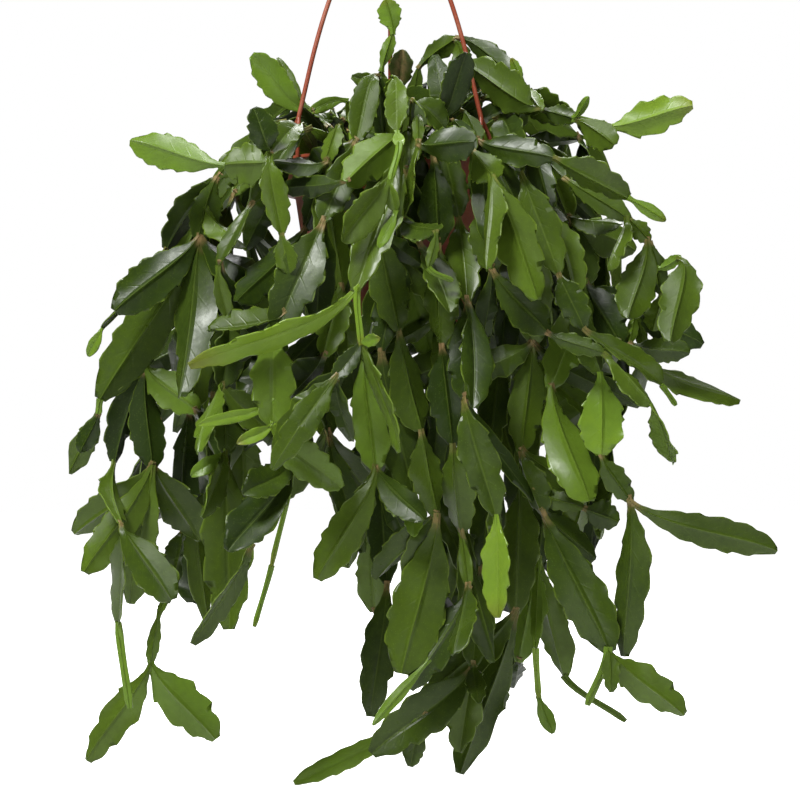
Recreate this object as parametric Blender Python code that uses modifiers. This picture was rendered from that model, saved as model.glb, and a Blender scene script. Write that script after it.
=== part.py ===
# Potted rhipsalis: a plastic hanging pot on a three-armed hanger, the soil in it, and leafy
# stems that rise from the soil, arch over the rim and hang in chains of flat notched segments.
# The origin is the point where the hook bears on its rail, and the front looks along -Y.
import bpy
import bmesh
import math
import random
from mathutils import Matrix, Vector
from mathutils.bvhtree import BVHTree

MM = 0.001
GAP = 0.3 * MM
MERGE = 0.00001
SLIVER_EDGE = 0.00002
SLIVER_HEIGHT = 0.000002

# Pot. Heights are below the rim's top plane, which hangs RIM_DROP below the hook's bearing point.
RIM_DROP = 0.235
RIM_RADIUS = 0.075
POT_HEIGHT = 0.115
POT_BASE_RADIUS = 0.053
POT_WALL = 0.0018
COLLAR_HEIGHT = 0.026
COLLAR_STEP = 0.0022
LIP_REACH = 0.0025
LIP_HEIGHT = 0.003
FOOT_WIDTH = 0.006
FOOT_HEIGHT = 0.0025
DRAIN_HOLES = 6
DRAIN_RADIUS = 0.004
DRAIN_CIRCLE = 0.030
POT_STEPS = 24

# Soil
SOIL_DROP = 0.014
SOIL_MOUND = 0.006
HOLE_DEPTH = 0.014
HOLE_CUTTER_HEIGHT = 0.04
HOLE_CIRCLE = 0.059
HOLE_COUNT = 54
GOLDEN_ANGLE = math.pi * (3.0 - math.sqrt(5.0))

# Hanger: the arms run from clips under the pot's lip to the hub below the hook
ARM_ANGLES = {"left": 210.0, "right": -30.0, "back": 90.0}
ARM_RADIUS = 0.0016
WIRE_RESOLUTION = 2
PRONG_RADIUS = 0.00144
PRONG_OVERRUN = 0.2 * MM
BARB_WIDTH = 0.0024
BARB_HEIGHT = 0.002
FORK_SPREAD = 0.007
FORK_HEIGHT = 0.024
HUB_RADIUS = 0.0085
HUB_HEIGHT = 0.007
HUB_TOP = 0.203
HOOK_WIRE = 0.0024
HOOK_BEND = 0.0125

# Stems
STALK_HALF_WIDTH = 0.0026
STALK_HALF_DEPTH = 0.0020
STALK_RISE = 0.006
NECK_HALF_WIDTH = 0.0021
NECK_HALF_DEPTH = 0.0013
TIP_WIDTH = 0.24
SIDE_HALF_WIDTH = 0.0013
SIDE_HALF_DEPTH = 0.0009
BLADE_HALF_DEPTH = 0.0009
CLEARANCE = 0.7 * MM
TIGHT_CLEARANCE = 0.35 * MM

# The front view that the forms were read from: its distance, and the point that it looks at,
# from the centre of the rim's top plane
VIEW_DISTANCE = 2.0
VIEW_X = 0.007
VIEW_Z = -0.168

# A segment's curve: how strongly its ends steer it, how much of the way it starts on comes from
# the segment before, and how nearly its face may lie along its length
STEER = 0.85
CARRIED_WAY = 0.45
FLAT_LIMIT = 0.35

# Segments wider than these are notched, and young; thinner ones are bare stalks
NOTCHED_WIDTH = 13.0 * MM
YOUNG_WIDTH = 6.5 * MM

# Half outlines of a segment, as (share of the length, share of the half width), base to tip
OUTLINES = {
    "stalk": (),
    "young": ((0.24, 0.62), (0.55, 1.0), (0.86, 0.72)),
    "plain": ((0.15, 0.34), (0.42, 1.0), (0.50, 0.84), (0.86, 0.78)),
    "notched": ((0.14, 0.32), (0.37, 0.98), (0.45, 0.80), (0.70, 1.0), (0.92, 0.62)),
}
# Where the midrib stands out, near the base, so that a blade that bends at its neck isn't folded
MIDRIBS = {"stalk": (), "young": (0.24,), "plain": (0.22,), "notched": (0.22,)}

# What the front view shows of the foliage's outline, as (x, z) in mm from the rim's centre:
# the fillers stay between these two lines, and only the stems listed by hand reach past them
CROWN_LINE = ((-230, -215), (-215, -135), (-200, -108), (-160, -62), (-150, -30), (-120, -5),
              (-95, 25), (-50, 34), (-25, 48), (0, 72), (20, 76), (60, 76), (92, 52), (130, 30),
              (150, 8), (165, -22), (192, -50), (208, -72), (215, -120), (240, -160), (260, -240))
HEM_LINE = ((-225, -250), (-205, -262), (-180, -300), (-135, -315), (-100, -300), (-88, -235),
            (-62, -218), (-38, -225), (-22, -282), (-5, -345), (30, -385), (85, -395), (100, -345),
            (135, -330), (148, -262), (162, -215), (182, -160), (205, -142), (245, -150))

# Stems read from the front view. Each has the place in the soil that it grows from, as (x, depth),
# and its runs of segments. A run starts at a joint of an earlier run, given as (run, joint), and
# lists where each segment ends: x, z and depth towards the viewer, its width and its turn.
# All are in mm and degrees, and a joint of 4.5 is halfway along the segment to joint 5.
FRONT_STEMS = (
    ("bottom_front", (-6, 58), (
        (None, ((-8, 16, 64, 9, 0), (-8, 6, 92, 14, 0), (-8, -50, 98, 26, 20),
                (6, -120, 102, 28, 0), (22, -190, 106, 28, -20), (33, -250, 110, 22, 0),
                (8, -360, 122, 40, 0))),
        ((0, 6), ((-10, -294, 98, 19, 0),)),
    )),
    ("bottom_middle", (20, 60), (
        (None, ((24, 16, 66, 9, 0), (30, 2, 94, 13, 0), (34, -60, 98, 26, 0),
                (36, -130, 98, 28, 30), (44, -200, 94, 28, 0), (50, -262, 94, 24, 0),
                (55, -300, 102, 10, 0), (14, -371, 130, 26, 0))),
        ((0, 7), ((45, -346, 126, 14, 0),)),
        ((0, 6), ((73, -352, 118, 19, 0),)),
        ((0, 7.7), ((-12, -396, 126, 9, 0),)),
    )),
    ("bright_front", (2, 42), (
        (None, ((0, 38, 48, 9, 0), (3, 58, 64, 12, 0), (5, 20, 96, 17, 0), (7, 8, 104, 9, 0),
                (-24, -93, 140, 28, 0))),
        ((0, 4), ((0, -15, 118, 5, 0), (4, -36, 124, 12, 30), (-8, -62, 126, 9, 0))),
        ((0, 5), ((-141, -144, 152, 15, 0),)),
        ((0, 5), ((-20, -130, 142, 5, 0), (7, -205, 150, 10, 0))),
        ((3, 1), ((-7, -125, 148, 9, 0),)),
        ((3, 1), ((-39, -154, 142, 14, 0),)),
    )),
    ("rounded_front", (24, 34), (
        (None, ((20, 30, 66, 8, 0), (20, 11, 106, 9, 0), (59, 12, 128, 27, 0))),
        ((0, 2), ((8, -40, 118, 12, 20), (32, -50, 136, 20, 0), (27, -76, 140, 8, 0),
                  (44, -85, 138, 4, 0))),
        ((1, 1), ((20, -58, 118, 12, 0), (42, -107, 126, 21, 0))),
    )),
    ("right_front", (40, 26), (
        (None, ((44, 28, 68, 9, 0), (58, 6, 102, 13, 20), (72, -13, 118, 25, 0),
                (103, -98, 142, 31, 0))),
        ((0, 3), ((68, -77, 128, 14, 0),)),
    )),
    ("left_front", (-10, 28), (
        (None, ((-8, 58, 32, 14, 0), (-24, 12, 84, 21, 0), (-47, -44, 114, 24, 0),
                (-80, -121, 136, 33, 0), (-82, -188, 144, 31, 0), (-34, -230, 138, 24, 20))),
        ((0, 5), ((-107, -199, 150, 10, 0),)),
        ((0, 5), ((-68, -214, 134, 9, 0), (-97, -270, 138, 9, 0), (-139, -339, 142, 12, 0))),
        ((2, 1), ((-83, -285, 120, 4, 0), (-95, -327, 118, 4, 0))),
        ((0, 4.7), ((-134, -186, 154, 9, 0),)),
        ((0, 3.8), ((-127, -120, 130, 14, 0),)),
    )),
    ("left_reach", (-30, 30), (
        (None, ((-36, 24, 66, 9, 0), (-45, -2, 96, 14, 20), (-83, -2, 108, 22, 50),
                (-117, -4, 102, 31, 5), (-182, 13, 88, 25, -10))),
    )),
    ("upright_left", (-44, 22), (
        (None, ((-62, 24, 76, 9, 0), (-84, 3, 122, 18, 10), (-76, -52, 128, 20, -15),
                (-71, -80, 126, 16, 0))),
        ((0, 2), ((-96, 36, 124, 22, 20),)),
    )),
    ("long_right", (38, 8), (
        (None, ((50, 34, 56, 9, 0), (62, 13, 100, 14, 0), (115, 1, 110, 23, 0),
                (167, -27, 102, 20, 0), (193, -43, 96, 10, 0))),
    )),
    ("outer_left", (-52, 10), (
        (None, ((-74, 26, 46, 11, 0), (-121, -13, 60, 20, 30), (-134, -57, 68, 24, 10),
                (-203, -168, 64, 36, 0), (-204, -178, 62, 5, 0), (-217, -205, 60, 15, 0))),
        ((0, 2), ((-157, -63, 48, 21, -10), (-201, -118, 44, 24, 60), (-211, -138, 42, 9, 0))),
        ((0, 3), ((-147, -166, 92, 37, 32),)),
        ((0, 2.5), ((-101, -62, 82, 14, 0),)),
    )),
    ("pale_left", (-56, -6), (
        (None, ((-80, 20, 18, 10, 0), (-128, -30, 28, 26, 40), (-158, -90, 38, 28, -40),
                (-172, -146, 54, 22, 0), (-166, -216, 64, 25, 0), (-182, -311, 50, 24, 0))),
        ((0, 5), ((-214, -289, 86, 28, 10),)),
        ((0, 5), ((-221, -262, 52, 26, -20),)),
        ((0, 5), ((-133, -267, 44, 32, 20),)),
        ((0, 4), ((-193, -212, 84, 11, 0), (-188, -256, 90, 11, 0), (-190, -325, 94, 12, 0),
                  (-182, -384, 96, 6, 0))),
    )),
    ("lower_left", (-40, -22), (
        (None, ((-72, 22, -14, 10, 0), (-110, -25, -6, 28, 45), (-128, -100, 6, 32, -55),
                (-140, -175, 16, 30, 45), (-145, -258, 28, 28, 30), (-153, -300, 34, 16, 0),
                (-161, -316, 38, 6, 0), (-168, -355, 40, 10, 0), (-212, -421, 34, 25, 0))),
        ((0, 8), ((-122, -406, 46, 32, 0),)),
        ((0, 4), ((-128, -322, 20, 20, 0),)),
    )),
    ("broad_left", (-22, 44), (
        (None, ((-56, 22, 74, 9, 0), (-96, -30, 90, 18, 20), (-120, -75, 94, 14, 40),
                (-113, -112, 98, 12, 0), (-118, -160, 106, 22, 0), (-116, -207, 112, 18, 0),
                (-112, -329, 118, 36, 0))),
        ((0, 6), ((-139, -222, 114, 12, 0),)),
        ((0, 6), ((-132, -250, 122, 12, 0),)),
        ((0, 5), ((-134, -205, 118, 14, 0),)),
    )),
    ("centre_front", (14, 48), (
        (None, ((14, 22, 76, 8, 0), (12, -8, 98, 18, 10), (8, -62, 108, 24, 30),
                (-6, -134, 118, 26, 0), (16, -233, 128, 36, 0), (17, -264, 126, 14, 0))),
        ((0, 3), ((-18, -138, 104, 24, 0), (-10, -218, 114, 26, 0), (-51, -294, 130, 27, 0))),
        ((1, 2), ((-30, -286, 106, 19, 0),)),
    )),
    ("mid_right", (32, 48), (
        (None, ((36, 14, 88, 8, 0), (48, -40, 100, 22, 0), (54, -100, 108, 25, 0),
                (52, -168, 116, 23, 0), (74, -250, 124, 27, 0), (76, -321, 130, 20, 0))),
        ((0, 3), ((58, -174, 128, 21, 0),)),
    )),
    ("right_second", (50, 14), (
        (None, ((74, 28, 54, 10, 0), (92, -10, 92, 24, 10), (118, -80, 108, 27, 0),
                (136, -119, 116, 22, 0), (190, -158, 106, 16, 0), (200, -172, 102, 4, 0))),
    )),
    ("right_low", (46, 38), (
        (None, ((54, 14, 84, 8, 0), (62, -32, 94, 18, 30), (72, -78, 102, 24, 0),
                (110, -121, 120, 27, 0), (150, -136, 124, 14, 0), (183, -172, 116, 12, 0),
                (198, -212, 108, 11, 0))),
    )),
    ("right_drop", (58, 10), (
        (None, ((88, 20, 62, 11, 0), (112, -35, 86, 20, 10), (130, -95, 96, 26, 20),
                (147, -150, 106, 22, 0), (148, -207, 114, 32, 0), (169, -240, 108, 18, 0),
                (271, -274, 74, 32, 0))),
        ((0, 6), ((164, -348, 106, 23, 0),)),
    )),
    ("lower_band", (56, -4), (
        (None, ((86, 14, 48, 10, 0), (122, -13, 72, 16, 0), (168, -42, 82, 17, 0),
                (182, -58, 80, 14, 0), (190, -94, 78, 16, 0), (184, -120, 76, 18, 0))),
        ((0, 3), ((153, -78, 92, 20, 72),)),
        ((0, 4.5), ((204, -68, 80, 9, 0),)),
    )),
    ("high_right", (46, -8), (
        (None, ((64, 42, 16, 12, 0), (106, 35, 46, 16, 0), (131, 28, 56, 15, 0),
                (157, 10, 76, 22, 0))),
        ((0, 3), ((153, 23, 58, 6, 0), (212, 38, 54, 26, 0))),
        ((0, 3), ((139, 44, 56, 7, 0),)),
    )),
    ("arching", (16, -12), (
        (None, ((20, 64, -8, 13, 0), (47, 85, 4, 16, 0), (93, 51, 30, 19, 10),
                (88, 20, 52, 15, 0))),
        ((0, 2), ((52, 64, 18, 15, 0),)),
        ((0, 3), ((85, 71, 34, 8, 0),)),
        ((0, 3), ((106, 34, 38, 13, 0),)),
    )),
    ("top_leaf", (-4, 2), (
        (None, ((-6, 38, 4, 8, 0), (-6, 62, 6, 10, 0), (2, 88, 6, 10, 0), (-3, 112, 6, 18, 0))),
    )),
    ("upper_left", (-24, 4), (
        (None, ((-30, 41, 8, 11, 0), (-57, 33, 14, 10, 0), (-97, 73, 20, 23, 0))),
        ((0, 2), ((-79, 71, 6, 9, 30),)),
        ((0, 2), ((-98, 14, 26, 20, 0),)),
    )),
    ("old_crown", (8, 14), (
        (None, ((6, 46, 24, 12, 0), (9, 77, 36, 18, 0))),
        ((0, 1), ((-27, 58, 28, 14, 0),)),
        ((0, 1), ((36, 26, 62, 26, 0),)),
    )),
    ("right_corky", (60, -14), (
        (None, ((92, 16, 22, 10, 0), (126, -42, 38, 28, 45), (137, -88, 54, 26, 0),
                (172, -108, 60, 24, 0), (178, -139, 62, 9, 0), (245, -169, 48, 16, 0))),
        ((0, 2), ((161, -46, 62, 15, 0),)),
        ((0, 3), ((161, -129, 80, 31, 10),)),
        ((0, 4), ((168, -128, 66, 9, 0), (210, -135, 74, 19, 0))),
    )),
    ("lower_right", (56, 26), (
        (None, ((84, 12, 52, 9, 0), (98, -50, 66, 26, 0), (100, -130, 76, 30, 20),
                (92, -205, 86, 26, 0), (107, -248, 94, 17, 0), (154, -345, 114, 35, 0),
                (206, -389, 96, 26, 0))),
        ((0, 6), ((155, -373, 110, 13, 0),)),
        ((0, 6), ((138, -382, 116, 6, 0),)),
        ((0, 4.6), ((136, -244, 100, 14, 0), (160, -254, 102, 22, 0))),
    )),
    ("bottom_long", (62, 4), (
        (None, ((84, 12, 32, 9, 0), (84, -60, 38, 28, 40), (78, -135, 46, 32, -50),
                (70, -210, 56, 30, 40), (64, -285, 66, 28, -20), (58, -355, 76, 26, 0),
                (-13, -416, 86, 33, 0))),
        ((0, 6), ((49, -415, 72, 25, 0),)),
        ((0, 6), ((62, -381, 88, 14, 0),)),
        ((0, 6.6), ((-67, -437, 80, 18, 0),)),
        ((0, 6.5), ((14, -425, 90, 16, 0),)),
    )),
    ("right_bottom", (62, -20), (
        (None, ((86, 10, -30, 9, 0), (98, -60, -24, 28, 50), (98, -140, 24, 32, -60),
                (92, -222, 36, 32, 50), (88, -318, 50, 30, 10), (49, -430, 58, 27, 0))),
    )),
    ("dark_middle", (-18, -50), (
        (None, ((-20, 18, -84, 9, 0), (-22, -60, -96, 28, 50), (-16, -140, -82, 32, -40),
                (-8, -220, -60, 30, 30), (-2, -297, -40, 26, 0), (-14, -390, -30, 27, 0))),
    )),
    ("thin_right", (58, -32), (
        (None, ((86, 10, -28, 9, 0), (108, -60, -24, 28, 60), (116, -140, -12, 32, -55),
                (112, -220, 0, 32, 65), (104, -282, 12, 28, 20), (90, -352, 18, 25, 0))),
        ((0, 5), ((102, -343, 28, 9, 0), (104, -376, 28, 5, 0), (114, -402, 28, 12, 0))),
        ((0, 5), ((122, -362, 2, 23, 0), (165, -393, -2, 5, 0))),
    )),
)

# Filler stems by rule: (name, first angle, last angle, count, reach, crest, end height), in
# degrees from +X and mm, with the back at +90
FILLER_RINGS = (
    ("outer", -14, 158, 9, 156, 46, -290),
    ("inner", 30, 150, 2, 108, 26, -250),
    ("lining", -150, -35, 2, 92, 16, -210),
    ("crown", -60, 240, 4, 64, 38, -10),
)
FILLER_SEED = 41
FILLER_TRIES = 40
FORK_CHANCE = 0.18

# Side segments that close the front view's gaps: the grid of places looked at, how far a joint
# may be from one, and the gaps (x from, x to, z from, z to) that the front view shows open
COVER_X = (-220, 260)
COVER_Z = (-390, 80)
COVER_STEP = 14
COVER_REACH = 62.0
COVER_BACK = 0.05
COVER_DEPTH = 55.0
COVER_CROWN = -25.0
COVER_JOINTS = 8
COVER_TRIES = 9
COVER_LIMIT = 32
COVER_LENGTH = (0.05, 0.085)
COVER_MARGINS = (9.0, 4.0)
KEPT_OPEN = ((-80, -58, -62, -30), (28, 58, -58, -22), (-66, -24, -330, -224),
             (-48, -20, -420, -300))

# How far a side segment starts inside its parent, the share of its length where its base lies and
# already faces its own way, and the share of it that may lie in its stem
SINK = 0.0035
SIDE_BASE = 0.012
OWN_SHARE = 0.2
LOOSE_SHARE = 0.45

# Segments that the front view shows this narrow (mm) are broad ones seen at an angle
TURNED_FROM = 10.0
TURNED_WIDTH = 26.0
TURNED_LENGTH = 0.042

# The ways that a segment of the front view may move, first to last: mm of depth, degrees of turn
DEPTH_TRIES = (0, 5, -5, 10, -10, 16, -16, 23, -23, 31, -31)
TURN_TRIES = (0, 14, -14, 28, -28, 45, -45)


def new_material(name, colour, roughness):
    material = bpy.data.materials.new(name)
    material.use_nodes = True
    shader = material.node_tree.nodes["Principled BSDF"]
    shader.inputs["Base Color"].default_value = (*colour, 1.0)
    shader.inputs["Roughness"].default_value = roughness
    material.diffuse_color = (*colour, 1.0)
    return material


def add_object(name, mesh, material, collection):
    if material:
        mesh.materials.append(material)
    piece = bpy.data.objects.new(name, mesh)
    collection.objects.link(piece)
    return piece


def make_cutter(piece):
    piece.hide_render = True
    piece.display_type = "WIRE"


# A turned solid from its half profile, (radius, height) pairs that end down the outer side
def turned(name, profile, steps, material, collection):
    mesh = bpy.data.meshes.new(name)
    points = [(radius, 0.0, height) for radius, height in profile]
    mesh.from_pydata(points, [(i, i + 1) for i in range(len(points) - 1)], [])
    piece = add_object(name, mesh, material, collection)
    screw = piece.modifiers.new("Turn", "SCREW")
    screw.steps = steps
    screw.render_steps = steps
    screw.use_merge_vertices = True
    screw.merge_threshold = MERGE
    screw.use_smooth_shade = True
    return piece


def cut(piece, cutters):
    boolean = piece.modifiers.new("Cut", "BOOLEAN")
    boolean.operation = "DIFFERENCE"
    boolean.operand_type = "COLLECTION"
    boolean.collection = cutters


# The pot's outer radius at a height below the rim, under its collar
def pot_radius(drop):
    top = RIM_RADIUS - LIP_REACH - COLLAR_STEP
    return top + (POT_BASE_RADIUS - top) * drop / POT_HEIGHT


def make_pot(material, parts, cutters):
    rim = -RIM_DROP
    base = rim - POT_HEIGHT
    collar = RIM_RADIUS - LIP_REACH
    inner_top = collar - POT_WALL
    inner_low = pot_radius(POT_HEIGHT) - POT_WALL
    floor = base + FOOT_HEIGHT + POT_WALL
    profile = [
        (0.0, floor), (inner_low, floor),
        (pot_radius(COLLAR_HEIGHT) - POT_WALL, rim - COLLAR_HEIGHT),
        (inner_top, rim - COLLAR_HEIGHT + COLLAR_STEP), (inner_top, rim),
        (RIM_RADIUS, rim), (RIM_RADIUS, rim - LIP_HEIGHT), (collar, rim - LIP_HEIGHT),
        (collar - 0.0006, rim - COLLAR_HEIGHT),
        (pot_radius(COLLAR_HEIGHT), rim - COLLAR_HEIGHT - 0.001),
        (POT_BASE_RADIUS, base), (POT_BASE_RADIUS - FOOT_WIDTH, base),
        (POT_BASE_RADIUS - FOOT_WIDTH, base + FOOT_HEIGHT), (0.0, base + FOOT_HEIGHT),
    ]
    pot = turned("pot", profile, POT_STEPS, material, parts)
    for i in range(DRAIN_HOLES):
        angle = 2.0 * math.pi * i / DRAIN_HOLES
        mesh = bpy.data.meshes.new("drain_cutter")
        bm = bmesh.new()
        bmesh.ops.create_cone(bm, cap_ends=True, segments=6, radius1=DRAIN_RADIUS,
                              radius2=DRAIN_RADIUS, depth=0.02)
        bm.to_mesh(mesh)
        bm.free()
        drain = add_object("drain_cutter", mesh, None, cutters)
        drain.location = (DRAIN_CIRCLE * math.cos(angle), DRAIN_CIRCLE * math.sin(angle), floor)
        make_cutter(drain)
    cut(pot, cutters)
    return pot


# The soil's top at a distance from the axis: a low mound, SOIL_DROP below the rim at its edge
def soil_height(radius):
    edge = RIM_RADIUS - LIP_REACH - POT_WALL - GAP
    return -RIM_DROP - SOIL_DROP + SOIL_MOUND * (1.0 - min(radius / edge, 1.0) ** 2)


def make_soil(material, parts, holes):
    floor = -RIM_DROP - POT_HEIGHT + FOOT_HEIGHT + POT_WALL + GAP
    shoulder = -RIM_DROP - COLLAR_HEIGHT
    edge = RIM_RADIUS - LIP_REACH - POT_WALL - GAP
    profile = [(edge * share, soil_height(edge * share)) for share in (0.0, 0.5)]
    profile += [
        (edge, soil_height(edge)), (edge, shoulder + COLLAR_STEP + GAP),
        (pot_radius(COLLAR_HEIGHT) - POT_WALL - GAP, shoulder),
        (pot_radius(POT_HEIGHT) - POT_WALL - GAP, floor), (0.0, floor),
    ]
    soil = turned("soil", profile, POT_STEPS, material, parts)
    cut(soil, holes)
    return soil


# A wire along points as a closed mesh: a POLY curve with a bevel and filled caps
def wire_mesh(name, points, radius):
    curve = bpy.data.curves.new(name, "CURVE")
    curve.dimensions = "3D"
    curve.bevel_depth = radius
    curve.bevel_resolution = WIRE_RESOLUTION
    curve.use_fill_caps = True
    spline = curve.splines.new("POLY")
    spline.points.add(len(points) - 1)
    for point, place in zip(spline.points, points):
        point.co = (*place, 1.0)
    holder = bpy.data.objects.new(name, curve)
    bpy.context.scene.collection.objects.link(holder)
    bpy.context.view_layer.update()
    shape = bpy.data.meshes.new_from_object(holder.evaluated_get(
        bpy.context.evaluated_depsgraph_get()))
    bpy.data.objects.remove(holder)
    bm = bmesh.new()
    bm.from_mesh(shape)
    bmesh.ops.remove_doubles(bm, verts=bm.verts, dist=MERGE)
    bmesh.ops.recalc_face_normals(bm, faces=bm.faces)
    bm.to_mesh(shape)
    bm.free()
    return shape


def box_mesh(name, low, high):
    mesh = bpy.data.meshes.new(name)
    bm = bmesh.new()
    bmesh.ops.create_cube(bm, size=1.0)
    low, high = Vector(low), Vector(high)
    bmesh.ops.scale(bm, vec=high - low, verts=bm.verts)
    bmesh.ops.translate(bm, vec=(high + low) / 2.0, verts=bm.verts)
    bm.to_mesh(mesh)
    bm.free()
    return mesh


# Keep the outer shell of a union: small pockets that crossing segments seal off are filled
def keep_outer_shell(mesh):
    bm = bmesh.new()
    bm.from_mesh(mesh)
    bm.verts.ensure_lookup_table()
    left = set(range(len(bm.verts)))
    shells = []
    while left:
        stack = [left.pop()]
        shell = set(stack)
        while stack:
            for edge in bm.verts[stack.pop()].link_edges:
                for vertex in edge.verts:
                    if vertex.index not in shell:
                        shell.add(vertex.index)
                        stack.append(vertex.index)
        left -= shell
        shells.append(shell)
    if len(shells) > 1:
        outer = max(shells, key=lambda shell: shell_spread(bm, shell))
        bmesh.ops.delete(bm, geom=[vertex for vertex in bm.verts if vertex.index not in outer],
                         context="VERTS")
        bm.to_mesh(mesh)
    bm.free()


def shell_spread(bm, shell):
    places = [bm.verts[index].co for index in shell]
    return sum(max(place[axis] for place in places) - min(place[axis] for place in places)
               for axis in range(3))


def neighbours(vertex):
    return {edge.other_vert(vertex) for edge in vertex.link_edges}


# An edge can shrink to a point only where its ends share just the two corners across from it
def shrink_one_edge(bm):
    short = [edge for edge in bm.edges if edge.calc_length() < SLIVER_EDGE]
    for edge in sorted(short, key=lambda edge: edge.calc_length()):
        one, other = edge.verts
        if len(edge.link_faces) == 2 and len(neighbours(one) & neighbours(other)) == 2:
            bmesh.ops.weld_verts(bm, targetmap={other: one})
            return True
    return False


def is_closed(bm):
    return all(part.is_manifold for part in [*bm.edges, *bm.verts])


# A union's faces as triangles: the second way serves where the first would double an edge
def triangulated(mesh):
    for quads, corners in (("BEAUTY", "BEAUTY"), ("FIXED", "EAR_CLIP")):
        bm = bmesh.new()
        bm.from_mesh(mesh)
        bmesh.ops.triangulate(bm, faces=bm.faces, quad_method=quads, ngon_method=corners)
        if is_closed(bm):
            break
    return bm


# Clear the slivers that a union leaves along its seams, unless that would open the surface
def drop_slivers(mesh):
    bm = triangulated(mesh)
    while shrink_one_edge(bm):
        pass
    for face in list(bm.faces):
        if not face.is_valid:
            continue
        longest = max(face.edges, key=lambda edge: edge.calc_length())
        if 2.0 * face.calc_area() > SLIVER_HEIGHT * longest.calc_length():
            continue
        far = [vertex for side in longest.link_faces for vertex in side.verts
               if vertex not in longest.verts]
        if len(far) == 2 and far[1] not in neighbours(far[0]):
            bmesh.ops.rotate_edges(bm, edges=[longest], use_ccw=False)
    if is_closed(bm):
        bm.to_mesh(mesh)
    bm.free()


# One body from several closed meshes: a Boolean union on a collection, applied
def fused(name, meshes, material, parts):
    piece = add_object(name, meshes[0], material, parts)
    if len(meshes) == 1:
        return piece
    operands = bpy.data.collections.new(name + "_operands")
    bpy.context.scene.collection.children.link(operands)
    for mesh in meshes[1:]:
        add_object(name + "_operand", mesh, None, operands)
    union = piece.modifiers.new("Join", "BOOLEAN")
    union.operation = "UNION"
    union.solver = "MANIFOLD"
    union.operand_type = "COLLECTION"
    union.collection = operands
    bpy.context.view_layer.update()
    joined = bpy.data.meshes.new_from_object(piece.evaluated_get(
        bpy.context.evaluated_depsgraph_get()))
    piece.modifiers.clear()
    piece.data = joined
    joined.name = name
    keep_outer_shell(joined)
    drop_slivers(joined)
    for operand in list(operands.objects):
        bpy.data.objects.remove(operand)
    bpy.data.collections.remove(operands)
    return piece


# An arm runs out from the hub's flank, down to its fork, and each prong hooks under the lip
def arm_meshes(name):
    rim = -RIM_DROP
    hub = rim + HUB_TOP - HUB_HEIGHT / 2.0
    leg = RIM_RADIUS + GAP + ARM_RADIUS
    start = Vector((HUB_RADIUS + GAP, 0.0, hub))
    split = Vector((leg - 0.004, 0.0, rim + FORK_HEIGHT))
    bow = Vector((0.006, 0.0, 0.0))
    path = [start, start + Vector((0.005, 0.0, 0.0)), start.lerp(split, 0.3) + bow * 0.8,
            start.lerp(split, 0.62) + bow, split]
    meshes = [wire_mesh(name, path, ARM_RADIUS)]
    barb_top = rim - LIP_HEIGHT - GAP
    barb_low = barb_top - BARB_HEIGHT
    for side in (-1.0, 1.0):
        foot = Vector((leg, side * FORK_SPREAD, barb_low - PRONG_OVERRUN))
        prong = [split + Vector((-0.0006, 0.0, 0.002)), foot + Vector((0.0, 0.0, 0.012)), foot]
        meshes.append(wire_mesh(name, prong, PRONG_RADIUS))
        meshes.append(box_mesh(
            name, (RIM_RADIUS - LIP_REACH + GAP, foot.y - BARB_WIDTH / 2.0, barb_low),
            (leg, foot.y + BARB_WIDTH / 2.0, barb_top)))
    return meshes


def make_arms(material, parts):
    arms = []
    for side, angle in ARM_ANGLES.items():
        arm = fused("hanger_arm_" + side, arm_meshes("hanger_arm_" + side), material, parts)
        arm.data.transform(Matrix.Rotation(math.radians(angle), 4, "Z"))
        arms.append(arm)
    return arms


# The hook: a round hub, a short shank and an open loop whose inside top is at the origin
def make_hook(material, parts):
    rim = -RIM_DROP
    top = rim + HUB_TOP
    centre = -HOOK_BEND
    middle = HOOK_BEND + HOOK_WIRE
    loop = [Vector((0.0, 0.0, top - 0.002)), Vector((0.0, 0.0, centre - middle - 0.003))]
    for degrees in range(-90, 171, 26):
        angle = math.radians(degrees)
        loop.append(Vector((middle * math.cos(angle), 0.0, centre + middle * math.sin(angle))))
    hub = bpy.data.meshes.new("hanger_hook")
    bm = bmesh.new()
    bmesh.ops.create_cone(bm, cap_ends=True, segments=16, radius1=HUB_RADIUS, radius2=HUB_RADIUS,
                          depth=HUB_HEIGHT)
    bmesh.ops.translate(bm, vec=(0.0, 0.0, top - HUB_HEIGHT / 2.0), verts=bm.verts)
    bm.to_mesh(hub)
    bm.free()
    return fused("hanger_hook", [hub, wire_mesh("hanger_hook", loop, HOOK_WIRE)],
                 material, parts)


# The real place of a point that the front view shows at x and z, at a depth towards the viewer
def seen(x, z, depth):
    share = (VIEW_DISTANCE - depth) / VIEW_DISTANCE
    return Vector((VIEW_X + (x - VIEW_X) * share, -depth, VIEW_Z + (z - VIEW_Z) * share - RIM_DROP))


# Where the front view shows a real place, in mm from the rim's centre
def shown(place):
    share = (VIEW_DISTANCE + place.y) / VIEW_DISTANCE
    x = VIEW_X + (place.x - VIEW_X) / share
    z = VIEW_Z + (place.z + RIM_DROP - VIEW_Z) / share
    return x / MM, z / MM


def read_line(line, x):
    if x <= line[0][0]:
        return line[0][1]
    for (x0, z0), (x1, z1) in zip(line, line[1:]):
        if x <= x1:
            return z0 + (z1 - z0) * (x - x0) / (x1 - x0)
    return line[-1][1]


def inside_outline(place):
    x, z = shown(place)
    if not CROWN_LINE[0][0] < x < CROWN_LINE[-1][0]:
        return False
    return read_line(HEM_LINE, x) < z < read_line(CROWN_LINE, x)


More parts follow.
